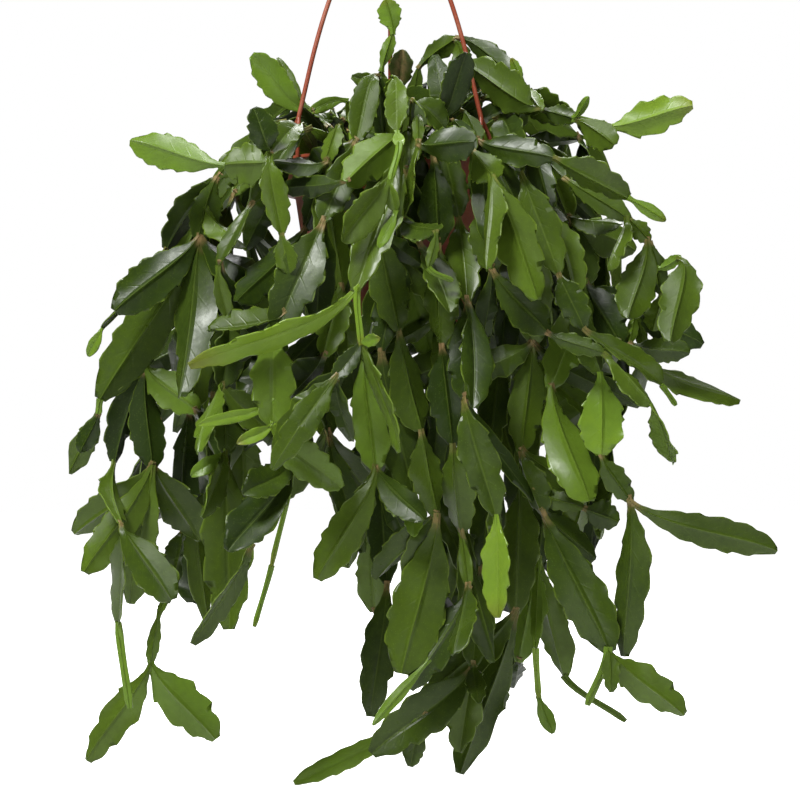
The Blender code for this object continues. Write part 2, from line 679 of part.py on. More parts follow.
# One segment between two joints: its curve, the way that it faces, and its outline
def make_segment(origin, end, width, turn, face, seed, kind=None, sag=0.12):
    start, start_way, start_face, before = origin
    draw = random.Random(seed)
    chord = end - start
    length = chord.length
    chord_way = chord.normalized()
    end_way = (chord_way + Vector((0.0, 0.0, -sag))).normalized()
    begin_way = (start_way * CARRIED_WAY + chord_way * (1.0 - CARRIED_WAY)).normalized()
    flat = face - chord_way * face.dot(chord_way)
    if flat.length < FLAT_LIMIT:
        flat = flat + Vector((0.0, 0.0, 0.8)) - chord_way * 0.8 * chord_way.z
    flat = Matrix.Rotation(math.radians(turn), 3, chord_way) @ flat.normalized()
    if start_face is not None and flat.dot(start_face) < 0.0:
        flat = -flat
    if kind is None:
        kind = ("notched" if width > NOTCHED_WIDTH else
                "young" if width > YOUNG_WIDTH else "stalk")
    return {
        "before": before, "start": start, "end": end, "length": length,
        "begin_way": begin_way, "end_way": end_way,
        "face": flat, "start_face": start_face if start_face is not None else flat,
        "half": width / 2.0, "kind": kind, "bow": draw.uniform(-0.05, 0.05) * length,
        "shift": draw.uniform(0.005, 0.035), "cup": draw.uniform(0.02, 0.24),
        "wave": draw.uniform(0.03, 0.09), "phase": draw.uniform(0.0, 6.28),
        "swell": draw.uniform(-0.05, 0.05),
    }


# The middle of a segment at a share of its length, with its ways along, across and out
def section(segment, share):
    s, s2, s3 = share, share ** 2, share ** 3
    reach = segment["length"] * STEER
    place = (segment["start"] * (2 * s3 - 3 * s2 + 1) + segment["end"] * (3 * s2 - 2 * s3)
             + segment["begin_way"] * reach * (s3 - 2 * s2 + s)
             + segment["end_way"] * reach * (s3 - s2))
    along = (segment["start"] * (6 * s2 - 6 * s) + segment["end"] * (6 * s - 6 * s2)
             + segment["begin_way"] * reach * (3 * s2 - 4 * s + 1)
             + segment["end_way"] * reach * (3 * s2 - 2 * s)).normalized()
    face = segment["start_face"] if share < 0.01 else segment["face"]
    out = (face - along * face.dot(along)).normalized()
    place = place + out * segment["bow"] * 4.0 * share * (1.0 - share)
    return place, along, along.cross(out), out


# The four points of a neck: left, front, right and back
def neck(segment, share, half_width, half_depth, grow):
    place, along, across, out = section(segment, share)
    wide, deep = half_width + grow, half_depth + grow
    return [place - across * wide, place + out * deep, place + across * wide, place - out * deep]


# Points of one margin or of the midrib, each with its share of the length
def margin_points(segment, side, grow):
    points = []
    for share, reach in OUTLINES[segment["kind"]]:
        shifted = share + side * segment["shift"] * (1.0 if share < 0.9 else 0.3)
        place, along, across, out = section(segment, shifted)
        half = segment["half"] * (reach + side * segment["swell"] * reach) + grow
        lift = segment["cup"] * half + segment["wave"] * segment["half"] * math.sin(
            segment["phase"] + side * 1.3 + 9.0 * shifted)
        points.append((shifted, place + across * half * side + out * lift))
    return points


def midrib_points(segment, side, grow):
    points = []
    for share in MIDRIBS[segment["kind"]]:
        place, along, across, out = section(segment, share)
        points.append((share, place + out * side * (BLADE_HALF_DEPTH + grow)))
    return points


def end_neck(segment, last, grow):
    half = segment["half"]
    if segment["kind"] == "stalk":
        half_width = max(min(half, STALK_HALF_WIDTH), 0.9 * MM)
    else:
        half_width = min(NECK_HALF_WIDTH, half * 0.7)
    if last:
        half_width = max(half_width, half * TIP_WIDTH)
    return neck(segment, 1.0, half_width, min(NECK_HALF_DEPTH, half), grow)


# Triangles between two lines of (share, vertex) that run from the same base to the same tip
def strip(one, other, flip):
    faces = []
    i = j = 0
    while i < len(one) - 1 or j < len(other) - 1:
        step_one = j == len(other) - 1 or (
            i < len(one) - 1 and one[i + 1][0] <= other[j + 1][0])
        if step_one:
            faces.append((one[i][1], one[i + 1][1], other[j][1]))
            i += 1
        else:
            faces.append((one[i][1], other[j + 1][1], other[j][1]))
            j += 1
    return [face[::-1] for face in faces] if flip else faces


# A run of segments as one closed ribbon, from a share of its first segment: vertices, triangles
def ribbon(segments, grow=0.0, first_neck=None, begin=0.0):
    before = segments[0]["before"]
    if first_neck:
        points = list(first_neck)
    elif before and begin == 0.0:
        points = end_neck(before, False, grow)
    else:
        points = neck(segments[0], begin, NECK_HALF_WIDTH, NECK_HALF_DEPTH, grow)
    ring = [0, 1, 2, 3]
    faces = [(0, 1, 2), (0, 2, 3)]
    for number, segment in enumerate(segments):
        last = number == len(segments) - 1
        lines = [margin_points(segment, -1, grow), midrib_points(segment, 1, grow),
                 margin_points(segment, 1, grow), midrib_points(segment, -1, grow)]
        end = end_neck(segment, last, grow)
        indexed = []
        for line, corner in zip(lines, ring):
            row = [(0.0, corner)]
            for share, point in line:
                if share > begin or number > 0:
                    row.append((share, len(points)))
                    points.append(point)
            indexed.append(row)
        new_ring = []
        for row, point in zip(indexed, end):
            row.append((1.0, len(points)))
            new_ring.append(len(points))
            points.append(point)
        left, front, right, back = indexed
        faces += (strip(left, front, False) + strip(right, front, True)
                  + strip(left, back, True) + strip(right, back, False))
        ring = new_ring
    faces += [(ring[0], ring[2], ring[1]), (ring[0], ring[3], ring[2])]
    return points, faces


# What is in place so far: the pot, the hanger and the soil, and the segments of each stem
class Space:
    def __init__(self, pieces):
        points, faces = [], []
        for piece in pieces:
            shape = piece.evaluated_get(bpy.context.evaluated_depsgraph_get()).to_mesh()
            start = len(points)
            points += [piece.matrix_world @ vertex.co for vertex in shape.vertices]
            faces += [[start + i for i in face.vertices] for face in shape.polygons]
        self.fixed = BVHTree.FromPolygons(points, faces)
        self.trees = {}
        self.shapes = {}

    def is_clear(self, name, segment, clearance, own_share=OWN_SHARE):
        probe = BVHTree.FromPolygons(*ribbon([segment], clearance))
        if self.fixed.overlap(probe):
            return False
        for other, trees in self.trees.items():
            if other != name and any(tree.overlap(probe) for tree in trees):
                return False
        probe = BVHTree.FromPolygons(*ribbon([segment], 0.0, begin=own_share))
        return not any(tree.overlap(probe) for tree in self.trees.get(name, ()))

    def keep(self, name, segment):
        points, faces = ribbon([segment])
        self.trees.setdefault(name, []).append(BVHTree.FromPolygons(points, faces))
        self.shapes.setdefault(name, []).append((points, faces))

    # A finished stem is tested as one tree
    def close_stem(self, name):
        points, faces = [], []
        for more_points, more_faces in self.shapes.get(name, ()):
            start = len(points)
            points += more_points
            faces += [[start + i for i in face] for face in more_faces]
        if points:
            self.trees[name] = [BVHTree.FromPolygons(points, faces)]

    # Whether foliage is the first thing that the front view meets at x and z
    def is_covered(self, x, z):
        eye = Vector((VIEW_X, -VIEW_DISTANCE, VIEW_Z - RIM_DROP))
        way = (seen(x * MM, z * MM, 0.0) - eye).normalized()
        fixed = self.fixed.ray_cast(eye, way)[3]
        for trees in self.trees.values():
            for tree in trees:
                reach = tree.ray_cast(eye, way)[3]
                if reach is not None and (fixed is None or reach < fixed):
                    return True
        return False


# Places in the soil, on a spiral that fills the pot evenly
def spiral_holes():
    holes = []
    for i in range(HOLE_COUNT):
        radius = HOLE_CIRCLE * math.sqrt((i + 0.5) / HOLE_COUNT)
        angle = i * GOLDEN_ANGLE
        holes.append(Vector((radius * math.cos(angle), radius * math.sin(angle))))
    return holes


def take_hole(holes, x, y):
    wish = Vector((x, y))
    hole = min(holes, key=lambda place: (place - wish).length)
    holes.remove(hole)
    return hole


# The straight foot of a stem, in its hole and a little above the soil
def foot_segment(hole):
    top = soil_height(hole.length)
    outward = Vector((hole.x, hole.y, 0.0)).normalized()
    start = Vector((hole.x, hole.y, top - HOLE_DEPTH + GAP))
    end = Vector((hole.x, hole.y, top + STALK_RISE))
    origin = start, Vector((0.0, 0.0, 1.0)), None, None
    segment = make_segment(origin, end, STALK_HALF_WIDTH * 2.0, 0.0, outward, 0, "stalk", 0.0)
    segment["bow"] = 0.0
    segment["foot"] = True
    return segment


# What the next segment of a run starts from: a place, a way, a face and the segment before
def run_end(segment):
    return segment["end"], segment["end_way"], segment["face"], segment


# The joint that a side run starts from
def joint_at(run, joint):
    number = min(int(joint), len(run["segments"]))
    share = joint - int(joint)
    if share > 0.0 and number < len(run["segments"]):
        segment = run["segments"][number]
        place, along, across, out = section(segment, share)
        return place, along, segment["face"], None
    return sunk_end(run["segments"][number - 1])


# A place just before a segment's end, so that what grows from it is sunk well in
def sunk_end(segment):
    place, along, across, out = section(segment, 1.0 - SINK / segment["length"])
    return place, along, segment["face"], None


# The ways that a segment of the front view may give way, first to last: (dx, dz) in mm
def side_steps(hidden):
    steps = [(0, 0)]
    if hidden:
        steps += [(9, 0), (-9, 0), (0, 8), (0, -8), (16, 8), (-16, 8), (24, 0), (-24, 0)]
    else:
        steps += [(4, 0), (-4, 0), (0, 5), (0, -5)]
    return steps


def fit_segment(name, start, listed, seed, space, hidden):
    x, z, depth, width, turn = listed
    facing = Vector((0.0, -1.0, 0.0))
    if (TURNED_FROM <= width < TURNED_WIDTH and not hidden
            and (seen(x * MM, z * MM, depth * MM) - start[0]).length > TURNED_LENGTH):
        tilt = math.degrees(math.acos(width / TURNED_WIDTH))
        turn += tilt if random.Random(seed).random() < 0.5 else -tilt
        width = TURNED_WIDTH
    for clearance, scale, steps, own in ((CLEARANCE, 1.0, [(0, 0)], OWN_SHARE),
                                         (TIGHT_CLEARANCE, 0.9, side_steps(hidden), OWN_SHARE),
                                         (TIGHT_CLEARANCE, 1.0, [(0, 0)], LOOSE_SHARE),
                                         (TIGHT_CLEARANCE, 0.7, side_steps(hidden), LOOSE_SHARE)):
        for dx, dz in steps:
            for turn_try in TURN_TRIES:
                for depth_try in DEPTH_TRIES:
                    end = seen((x + dx) * MM, (z + dz) * MM, (depth + depth_try) * MM)
                    segment = make_segment(start, end, width * scale * MM, turn + turn_try,
                                           facing, seed)
                    if space.is_clear(name, segment, clearance, own):
                        return segment
    return None


# Grow a stem that the front view shows: a segment that can't pass moves in depth or turns
def grow_front_stem(name, foot, listed, space):
    runs = []
    for number, (origin, ends) in enumerate(listed):
        run = {"segments": []}
        runs.append(run)
        if origin is None:
            run["segments"].append(foot)
            start = run_end(foot)
        else:
            parent, joint = origin
            joint += 1 if parent == 0 else 0
            if len(runs[parent]["segments"]) < joint:
                continue
            start = joint_at(runs[parent], joint)
        for index, end in enumerate(ends):
            found = fit_segment(name, start, end, name + str((number, index)), space,
                                origin is None and index < 3)
            if found is None:
                break
            run["segments"].append(found)
            space.keep(name, found)
            start = run_end(found)
    space.close_stem(name)
    return runs


# Where a filler's joints would like to be: up from its hole, over the rim and down in steps
def filler_path(hole, angle, reach, crest, bottom, draw):
    outward = Vector((math.cos(angle), math.sin(angle), 0.0))
    across = Vector((-outward.y, outward.x, 0.0))
    start = Vector((hole.x, hole.y, 0.0)).dot(outward)
    sideways = Vector((hole.x, hole.y, 0.0)).dot(across)
    crest_reach = max(start + 0.45 * (reach - start), 0.066)
    stops = [(start + 0.35 * (crest_reach - start), 0.55 * crest), (crest_reach, crest),
             (crest_reach + 0.75 * (reach - crest_reach), crest * 0.55)]
    if reach > 0.1:
        stops.append((reach, -0.035))
    height = stops[-1][1]
    while height > bottom:
        height -= draw.uniform(0.070, 0.090)
        reach += draw.uniform(-0.006, 0.008)
        stops.append((reach, height))
    path = []
    for number, (distance, height) in enumerate(stops):
        drift = sideways * max(0.0, 1.0 - 0.4 * number) + draw.uniform(-0.008, 0.008)
        path.append(outward * distance + across * drift + Vector((0.0, 0.0, height - RIM_DROP)))
    return path


# Grow a filler stem: each segment takes the first of its seeded tries that is clear
def grow_filler(name, hole, foot, angle, reach, crest, bottom, space):
    draw = random.Random(name + str(FILLER_SEED))
    main = {"segments": [foot]}
    runs = [main]
    outward = Vector((math.cos(angle), math.sin(angle), 0.0))
    start = run_end(foot)
    for index, wish in enumerate(filler_path(hole, angle, reach, crest, bottom, draw)):
        width = (8.0, 14.0)[index] if index < 2 else draw.uniform(28.0, 36.0)
        found = try_filler(name, start, wish, width * MM, outward, name + str(index), draw,
                           space, index > 1)
        if found is None:
            break
        main["segments"].append(found)
        space.keep(name, found)
        start = run_end(found)
        if index > 1 and draw.random() < FORK_CHANCE:
            side = 1.0 if draw.random() < 0.5 else -1.0
            swing = Vector((-outward.y, outward.x, 0.0)) * side
            aim = (swing * draw.uniform(0.4, 0.8) + outward * draw.uniform(0.1, 0.5)
                   + Vector((0.0, 0.0, -0.8))).normalized()
            wish = start[0] + aim * draw.uniform(0.062, 0.082)
            branch = try_filler(name, sunk_end(found), wish, draw.uniform(26.0, 33.0) * MM, outward,
                                name + "side" + str(index), draw, space, True)
            if branch:
                space.keep(name, branch)
                runs.append({"segments": [branch]})
    space.close_stem(name)
    return runs


def try_filler(name, start, wish, width, outward, seed, draw, space, hanging):
    across = Vector((-outward.y, outward.x, 0.0))
    for attempt in range(FILLER_TRIES):
        spread = 0.004 + 0.0009 * attempt
        end = wish + across * draw.uniform(-spread, spread) + outward * draw.uniform(-spread, spread)
        end.z += draw.uniform(-0.5, 0.5) * spread
        turn = draw.uniform(-40.0, 40.0)
        if hanging and not inside_outline(end):
            continue
        kind = "plain" if width > NOTCHED_WIDTH else None
        segment = make_segment(start, end, width * (1.0 - 0.008 * attempt), turn, outward, seed,
                               kind)
        clearance = CLEARANCE if attempt < FILLER_TRIES / 2 else TIGHT_CLEARANCE
        if space.is_clear(name, segment, clearance):
            return segment
    return None


# Side segments where the front view still sees the pot or nothing between the stems
def cover_gaps(stems, space):
    draw = random.Random(FILLER_SEED)
    wishes = []
    for x in range(COVER_X[0], COVER_X[1], COVER_STEP):
        for z in range(COVER_Z[0], COVER_Z[1], COVER_STEP):
            wishes.append((x + draw.uniform(-5.0, 5.0), z + draw.uniform(-5.0, 5.0)))
    draw.shuffle(wishes)
    added = 0
    for margin in COVER_MARGINS:
        for x, z in wishes:
            if not read_line(HEM_LINE, x) + margin < z < read_line(CROWN_LINE, x) - margin:
                continue
            if any(x0 < x < x1 and z0 < z < z1 for x0, x1, z0, z1 in KEPT_OPEN):
                continue
            if added < COVER_LIMIT and not space.is_covered(x, z):
                added += cover_place(stems, space, x, z, draw)


def cover_place(stems, space, x, z, draw):
    joints = []
    for name, runs in stems:
        for run in runs:
            for segment in run["segments"]:
                if segment.get("foot"):
                    continue
                joint_x, joint_z = shown(segment["end"])
                away = math.hypot(joint_x - x, joint_z - z)
                if away > COVER_REACH or away < 8.0 or segment["end"].y > COVER_BACK:
                    continue
                if z < COVER_CROWN and joint_z < z + 0.4 * away:
                    continue
                behind = abs(-segment["end"].y / MM - COVER_DEPTH)
                joints.append((abs(away - COVER_REACH / 2.0) + 0.3 * behind, name, len(joints),
                               segment, runs))
    joints.sort(key=lambda joint: joint[:3])
    for distance, name, order, segment, runs in joints[:COVER_JOINTS]:
        place = segment["end"]
        for attempt in range(COVER_TRIES):
            depth = -place.y + draw.uniform(-0.012, 0.030)
            middle = seen(x * MM, z * MM, depth)
            chord = middle - place
            length = chord.length * draw.uniform(1.4, 2.0)
            length = max(COVER_LENGTH[0], min(COVER_LENGTH[1], length))
            end = place + chord.normalized() * length
            width = draw.uniform(27.0, 33.0) * MM * min(1.0, length / 0.06)
            turn = draw.uniform(-35.0, 35.0)
            if not inside_outline(end):
                continue
            branch = make_segment(sunk_end(segment), end, width, turn,
                                  Vector((0.0, -1.0, 0.0)), name + str((int(x), int(z))), "plain")
            if space.is_clear(name, branch, CLEARANCE):
                space.keep(name, branch)
                runs.append({"segments": [branch]})
                return 1
    return 0


# The closed mesh of one run, its base sunk in what it grows from
def run_mesh(name, segments):
    if segments[0].get("foot"):
        base = neck(segments[0], 0.0, STALK_HALF_WIDTH, STALK_HALF_DEPTH, 0.0)
    else:
        base = neck(segments[0], SIDE_BASE, SIDE_HALF_WIDTH, SIDE_HALF_DEPTH, 0.0)
    points, faces = ribbon(segments, 0.0, base)
    mesh = bpy.data.meshes.new(name)
    mesh.from_pydata([point[:] for point in points], [], faces)
    bm = bmesh.new()
    bm.from_mesh(mesh)
    bmesh.ops.recalc_face_normals(bm, faces=bm.faces)
    bm.to_mesh(mesh)
    bm.free()
    return mesh


def make_stem(name, runs, material, parts):
    meshes = [run_mesh(name, run["segments"]) for run in runs if run["segments"]]
    return fused(name, meshes, material, parts)


# The plain hole that a stem stands in, wider than its foot by the gap all round
def make_hole(runs, holes):
    foot = runs[0]["segments"][0]
    slant = math.hypot(STALK_HALF_WIDTH, STALK_HALF_DEPTH)
    wide = STALK_HALF_WIDTH + GAP * slant / STALK_HALF_DEPTH
    deep = STALK_HALF_DEPTH + GAP * slant / STALK_HALF_WIDTH
    place, along, across, out = section(foot, 0.0)
    corners = [place - across * wide, place + out * deep, place + across * wide, place - out * deep]
    bm = bmesh.new()
    low = [bm.verts.new(corner - along * GAP) for corner in corners]
    high = [bm.verts.new(corner + along * HOLE_CUTTER_HEIGHT) for corner in corners]
    bm.faces.new(low)
    bm.faces.new(high[::-1])
    for i in range(4):
        bm.faces.new((low[i], high[i], high[(i + 1) % 4], low[(i + 1) % 4]))
    bmesh.ops.recalc_face_normals(bm, faces=bm.faces)
    mesh = bpy.data.meshes.new("hole_cutter")
    bm.to_mesh(mesh)
    bm.free()
    make_cutter(add_object("hole_cutter", mesh, None, holes))


def filler_plan():
    plan = []
    for ring, first, last, count, reach, crest, bottom in FILLER_RINGS:
        for i in range(count):
            angle = first + (last - first) * (i + 0.5) / count
            draw = random.Random(ring + str(i + FILLER_SEED))
            plan.append((ring + "_" + str(i + 1), math.radians(angle + draw.uniform(-4.0, 4.0)),
                         (reach + draw.uniform(-10.0, 12.0)) * MM,
                         (crest + draw.uniform(-6.0, 8.0)) * MM,
                         (bottom + draw.uniform(-35.0, 35.0)) * MM))
    return plan


# All stems, grown one after another round the pot, the arms and each other
def grow_all(space):
    holes = spiral_holes()
    front, fillers = [], []
    for name, (x, depth), listed in FRONT_STEMS:
        front.append((name, take_hole(holes, x * MM, -depth * MM), listed))
    for name, angle, reach, crest, bottom in filler_plan():
        inner = HOLE_CIRCLE * (0.9 if reach < 0.12 else 0.5)
        hole = take_hole(holes, inner * math.cos(angle), inner * math.sin(angle))
        fillers.append((name, hole, angle, reach, crest, bottom))
    feet = {row[0]: foot_segment(row[1]) for row in front + fillers}
    for name, foot in feet.items():
        space.keep(name, foot)
    stems = []
    for name, hole, listed in front:
        stems.append((name, grow_front_stem(name, feet[name], listed, space)))
    for name, hole, angle, reach, crest, bottom in fillers:
        stems.append((name, grow_filler(name, hole, feet[name], angle, reach, crest, bottom,
                                        space)))
    cover_gaps(stems, space)
    return stems


def main():
    for piece in list(bpy.data.objects):
        bpy.data.objects.remove(piece)
    scene = bpy.context.scene
    parts = bpy.data.collections.new("potted_rhipsalis")
    drains = bpy.data.collections.new("drain_cutters")
    holes = bpy.data.collections.new("hole_cutters")
    for collection in (parts, drains, holes):
        scene.collection.children.link(collection)
    pot_plastic = new_material("pot_plastic", (0.30, 0.075, 0.045), 0.45)
    hanger_plastic = new_material("hanger_plastic", (0.30, 0.075, 0.045), 0.45)
    soil_mix = new_material("soil_mix", (0.045, 0.030, 0.020), 0.95)
    leaf_skin = new_material("leaf_skin", (0.085, 0.17, 0.035), 0.38)

    pot = make_pot(pot_plastic, parts, drains)
    arms = make_arms(hanger_plastic, parts)
    hook = make_hook(hanger_plastic, parts)
    soil = make_soil(soil_mix, parts, holes)
    bpy.context.view_layer.update()
    space = Space([pot, soil, hook, *arms])
    for name, runs in grow_all(space):
        make_stem("stem_" + name, runs, leaf_skin, parts)
        make_hole(runs, holes)
    bpy.context.view_layer.update()


main()
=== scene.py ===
# Potted rhipsalis: the looks of the plant, its hanging pot and its hanger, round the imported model.
# The stems grow by the same rule as in the CAD source, and each segment gets a finer blade.
import math
import random
import bpy
import bmesh
from mathutils import Matrix, Vector
from mathutils.bvhtree import BVHTree


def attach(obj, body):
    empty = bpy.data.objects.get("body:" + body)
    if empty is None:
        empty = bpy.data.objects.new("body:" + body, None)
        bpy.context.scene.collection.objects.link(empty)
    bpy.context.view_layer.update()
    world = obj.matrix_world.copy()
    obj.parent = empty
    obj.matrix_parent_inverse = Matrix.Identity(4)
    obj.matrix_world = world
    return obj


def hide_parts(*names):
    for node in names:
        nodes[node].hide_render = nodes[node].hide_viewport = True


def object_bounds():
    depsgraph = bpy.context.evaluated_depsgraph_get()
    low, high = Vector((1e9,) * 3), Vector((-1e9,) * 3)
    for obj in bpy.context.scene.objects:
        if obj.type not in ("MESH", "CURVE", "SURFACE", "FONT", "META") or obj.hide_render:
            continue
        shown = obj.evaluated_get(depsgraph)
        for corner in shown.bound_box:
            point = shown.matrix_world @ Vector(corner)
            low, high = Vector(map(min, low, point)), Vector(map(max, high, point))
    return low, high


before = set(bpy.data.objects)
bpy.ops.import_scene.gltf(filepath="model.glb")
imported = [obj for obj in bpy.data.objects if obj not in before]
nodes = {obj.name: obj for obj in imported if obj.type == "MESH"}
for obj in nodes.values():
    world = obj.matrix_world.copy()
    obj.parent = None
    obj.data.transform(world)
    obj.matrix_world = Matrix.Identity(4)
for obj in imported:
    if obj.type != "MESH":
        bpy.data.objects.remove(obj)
cadBox = [list(corner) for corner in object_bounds()]
mm = 0.001
goldenAngle = math.pi * (3.0 - math.sqrt(5.0))

# The photograph's view: its distance, the point that it looks at, from the centre of the rim's top
# plane, and what its width spans at the pot's axis
photoView = {"distance": 2.0, "x": 0.007, "z": -0.168, "span": 0.56}

potSizes = {
    "rimDrop": 0.235, "rimRadius": 0.075, "height": 0.115, "baseRadius": 0.053, "wall": 0.0018,
    "collarHeight": 0.026, "collarStep": 0.0022, "lipReach": 0.0025, "lipHeight": 0.003,
    "footWidth": 0.006, "footHeight": 0.0025, "drainHoles": 6, "drainRadius": 0.004,
    "drainCircle": 0.030, "gap": 0.0003,
}

soilSizes = {"drop": 0.014, "mound": 0.006, "holeDepth": 0.014, "holeCircle": 0.059,
             "holeCount": 54}

hangerSizes = {
    "angles": {"left": 210.0, "right": -30.0, "back": 90.0}, "armRadius": 0.0016,
    "prongRadius": 0.00144, "barbHeight": 0.002, "barbWidth": 0.0024, "forkSpread": 0.007,
    "forkHeight": 0.024, "hubRadius": 0.0085, "hubHeight": 0.007, "hubTop": 0.203,
    "hookWire": 0.0024, "hookBend": 0.0125,
}

# Sizes of a segment, the limits of its kinds, and how far it may give way as it grows
stemSizes = {
    "stalkHalfWidth": 0.0026, "stalkHalfDepth": 0.0020, "stalkRise": 0.006,
    "neckHalfWidth": 0.0021, "neckHalfDepth": 0.0013, "tipWidth": 0.24,
    "bladeHalfDepth": 0.0009, "clearance": 0.0007, "tightClearance": 0.00035,
    "steer": 0.85, "carriedWay": 0.45, "flatLimit": 0.35,
    "notchedWidth": 0.013, "youngWidth": 0.0065,
    "sink": 0.0035, "ownShare": 0.2, "looseShare": 0.45,
    "turnedFrom": 10.0, "turnedWidth": 26.0, "turnedLength": 0.042,
    "depthTries": (0, 5, -5, 10, -10, 16, -16, 23, -23, 31, -31),
    "turnTries": (0, 14, -14, 28, -28, 45, -45),
}

# Filler stems: (name, first angle, last angle, count, reach, crest, end height), in degrees from
# +X and mm, with the back at +90. A stem rises to its crest, passes the rim and hangs in drops
fillerRule = {
    "rings": (("outer", -14, 158, 9, 156, 46, -290), ("inner", 30, 150, 2, 108, 26, -250),
              ("lining", -150, -35, 2, 92, 16, -210), ("crown", -60, 240, 4, 64, 38, -10)),
    "seed": 41, "tries": 40, "forkChance": 0.18, "crestShare": 0.45, "crestReach": 0.066,
    "rise": (0.35, 0.55), "fall": (0.75, 0.55), "overRim": (0.1, -0.035), "drop": (0.070, 0.090),
    "widen": (-0.006, 0.008), "drift": 0.008, "firstWidths": (8.0, 14.0), "width": (28.0, 36.0),
    "forkLength": (0.062, 0.082), "forkWidth": (26.0, 33.0), "spread": (0.004, 0.0009),
    "turn": 40.0, "narrowing": 0.008,
}


# The pot's outer radius at a height below the rim, under its collar
def potRadius(drop):
    top = potSizes["rimRadius"] - potSizes["lipReach"] - potSizes["collarStep"]
    return top + (potSizes["baseRadius"] - top) * drop / potSizes["height"]


soilEdge = potSizes["rimRadius"] - potSizes["lipReach"] - potSizes["wall"] - potSizes["gap"]


# The soil's top at a distance from the axis: a low mound, lowest at its edge
def soilHeight(radius):
    mound = soilSizes["mound"] * (1.0 - min(radius / soilEdge, 1.0) ** 2)
    return mound - potSizes["rimDrop"] - soilSizes["drop"]


# Half outlines of a segment, as (share of the length, share of the half width), base to tip
outlines = {
    "stalk": (),
    "young": ((0.24, 0.62), (0.55, 1.0), (0.86, 0.72)),
    "plain": ((0.15, 0.34), (0.42, 1.0), (0.50, 0.84), (0.86, 0.78)),
    "notched": ((0.14, 0.32), (0.37, 0.98), (0.45, 0.80), (0.70, 1.0), (0.92, 0.62)),
}
# Where the midrib stands out, near the base, so that a blade that bends at its neck isn't folded
midribs = {"stalk": (), "young": (0.24,), "plain": (0.22,), "notched": (0.22,)}

# What the front view shows of the foliage's outline, as (x, z) in mm from the rim's centre:
# the fillers stay between these two lines, and only the listed stems reach past them
crownLine = ((-230, -215), (-215, -135), (-200, -108), (-160, -62), (-150, -30), (-120, -5),
             (-95, 25), (-50, 34), (-25, 48), (0, 72), (20, 76), (60, 76), (92, 52), (130, 30),
             (150, 8), (165, -22), (192, -50), (208, -72), (215, -120), (240, -160), (260, -240))
hemLine = ((-225, -250), (-205, -262), (-180, -300), (-135, -315), (-100, -300), (-88, -235),
           (-62, -218), (-38, -225), (-22, -282), (-5, -345), (30, -385), (85, -395), (100, -345),
           (135, -330), (148, -262), (162, -215), (182, -160), (205, -142), (245, -150))

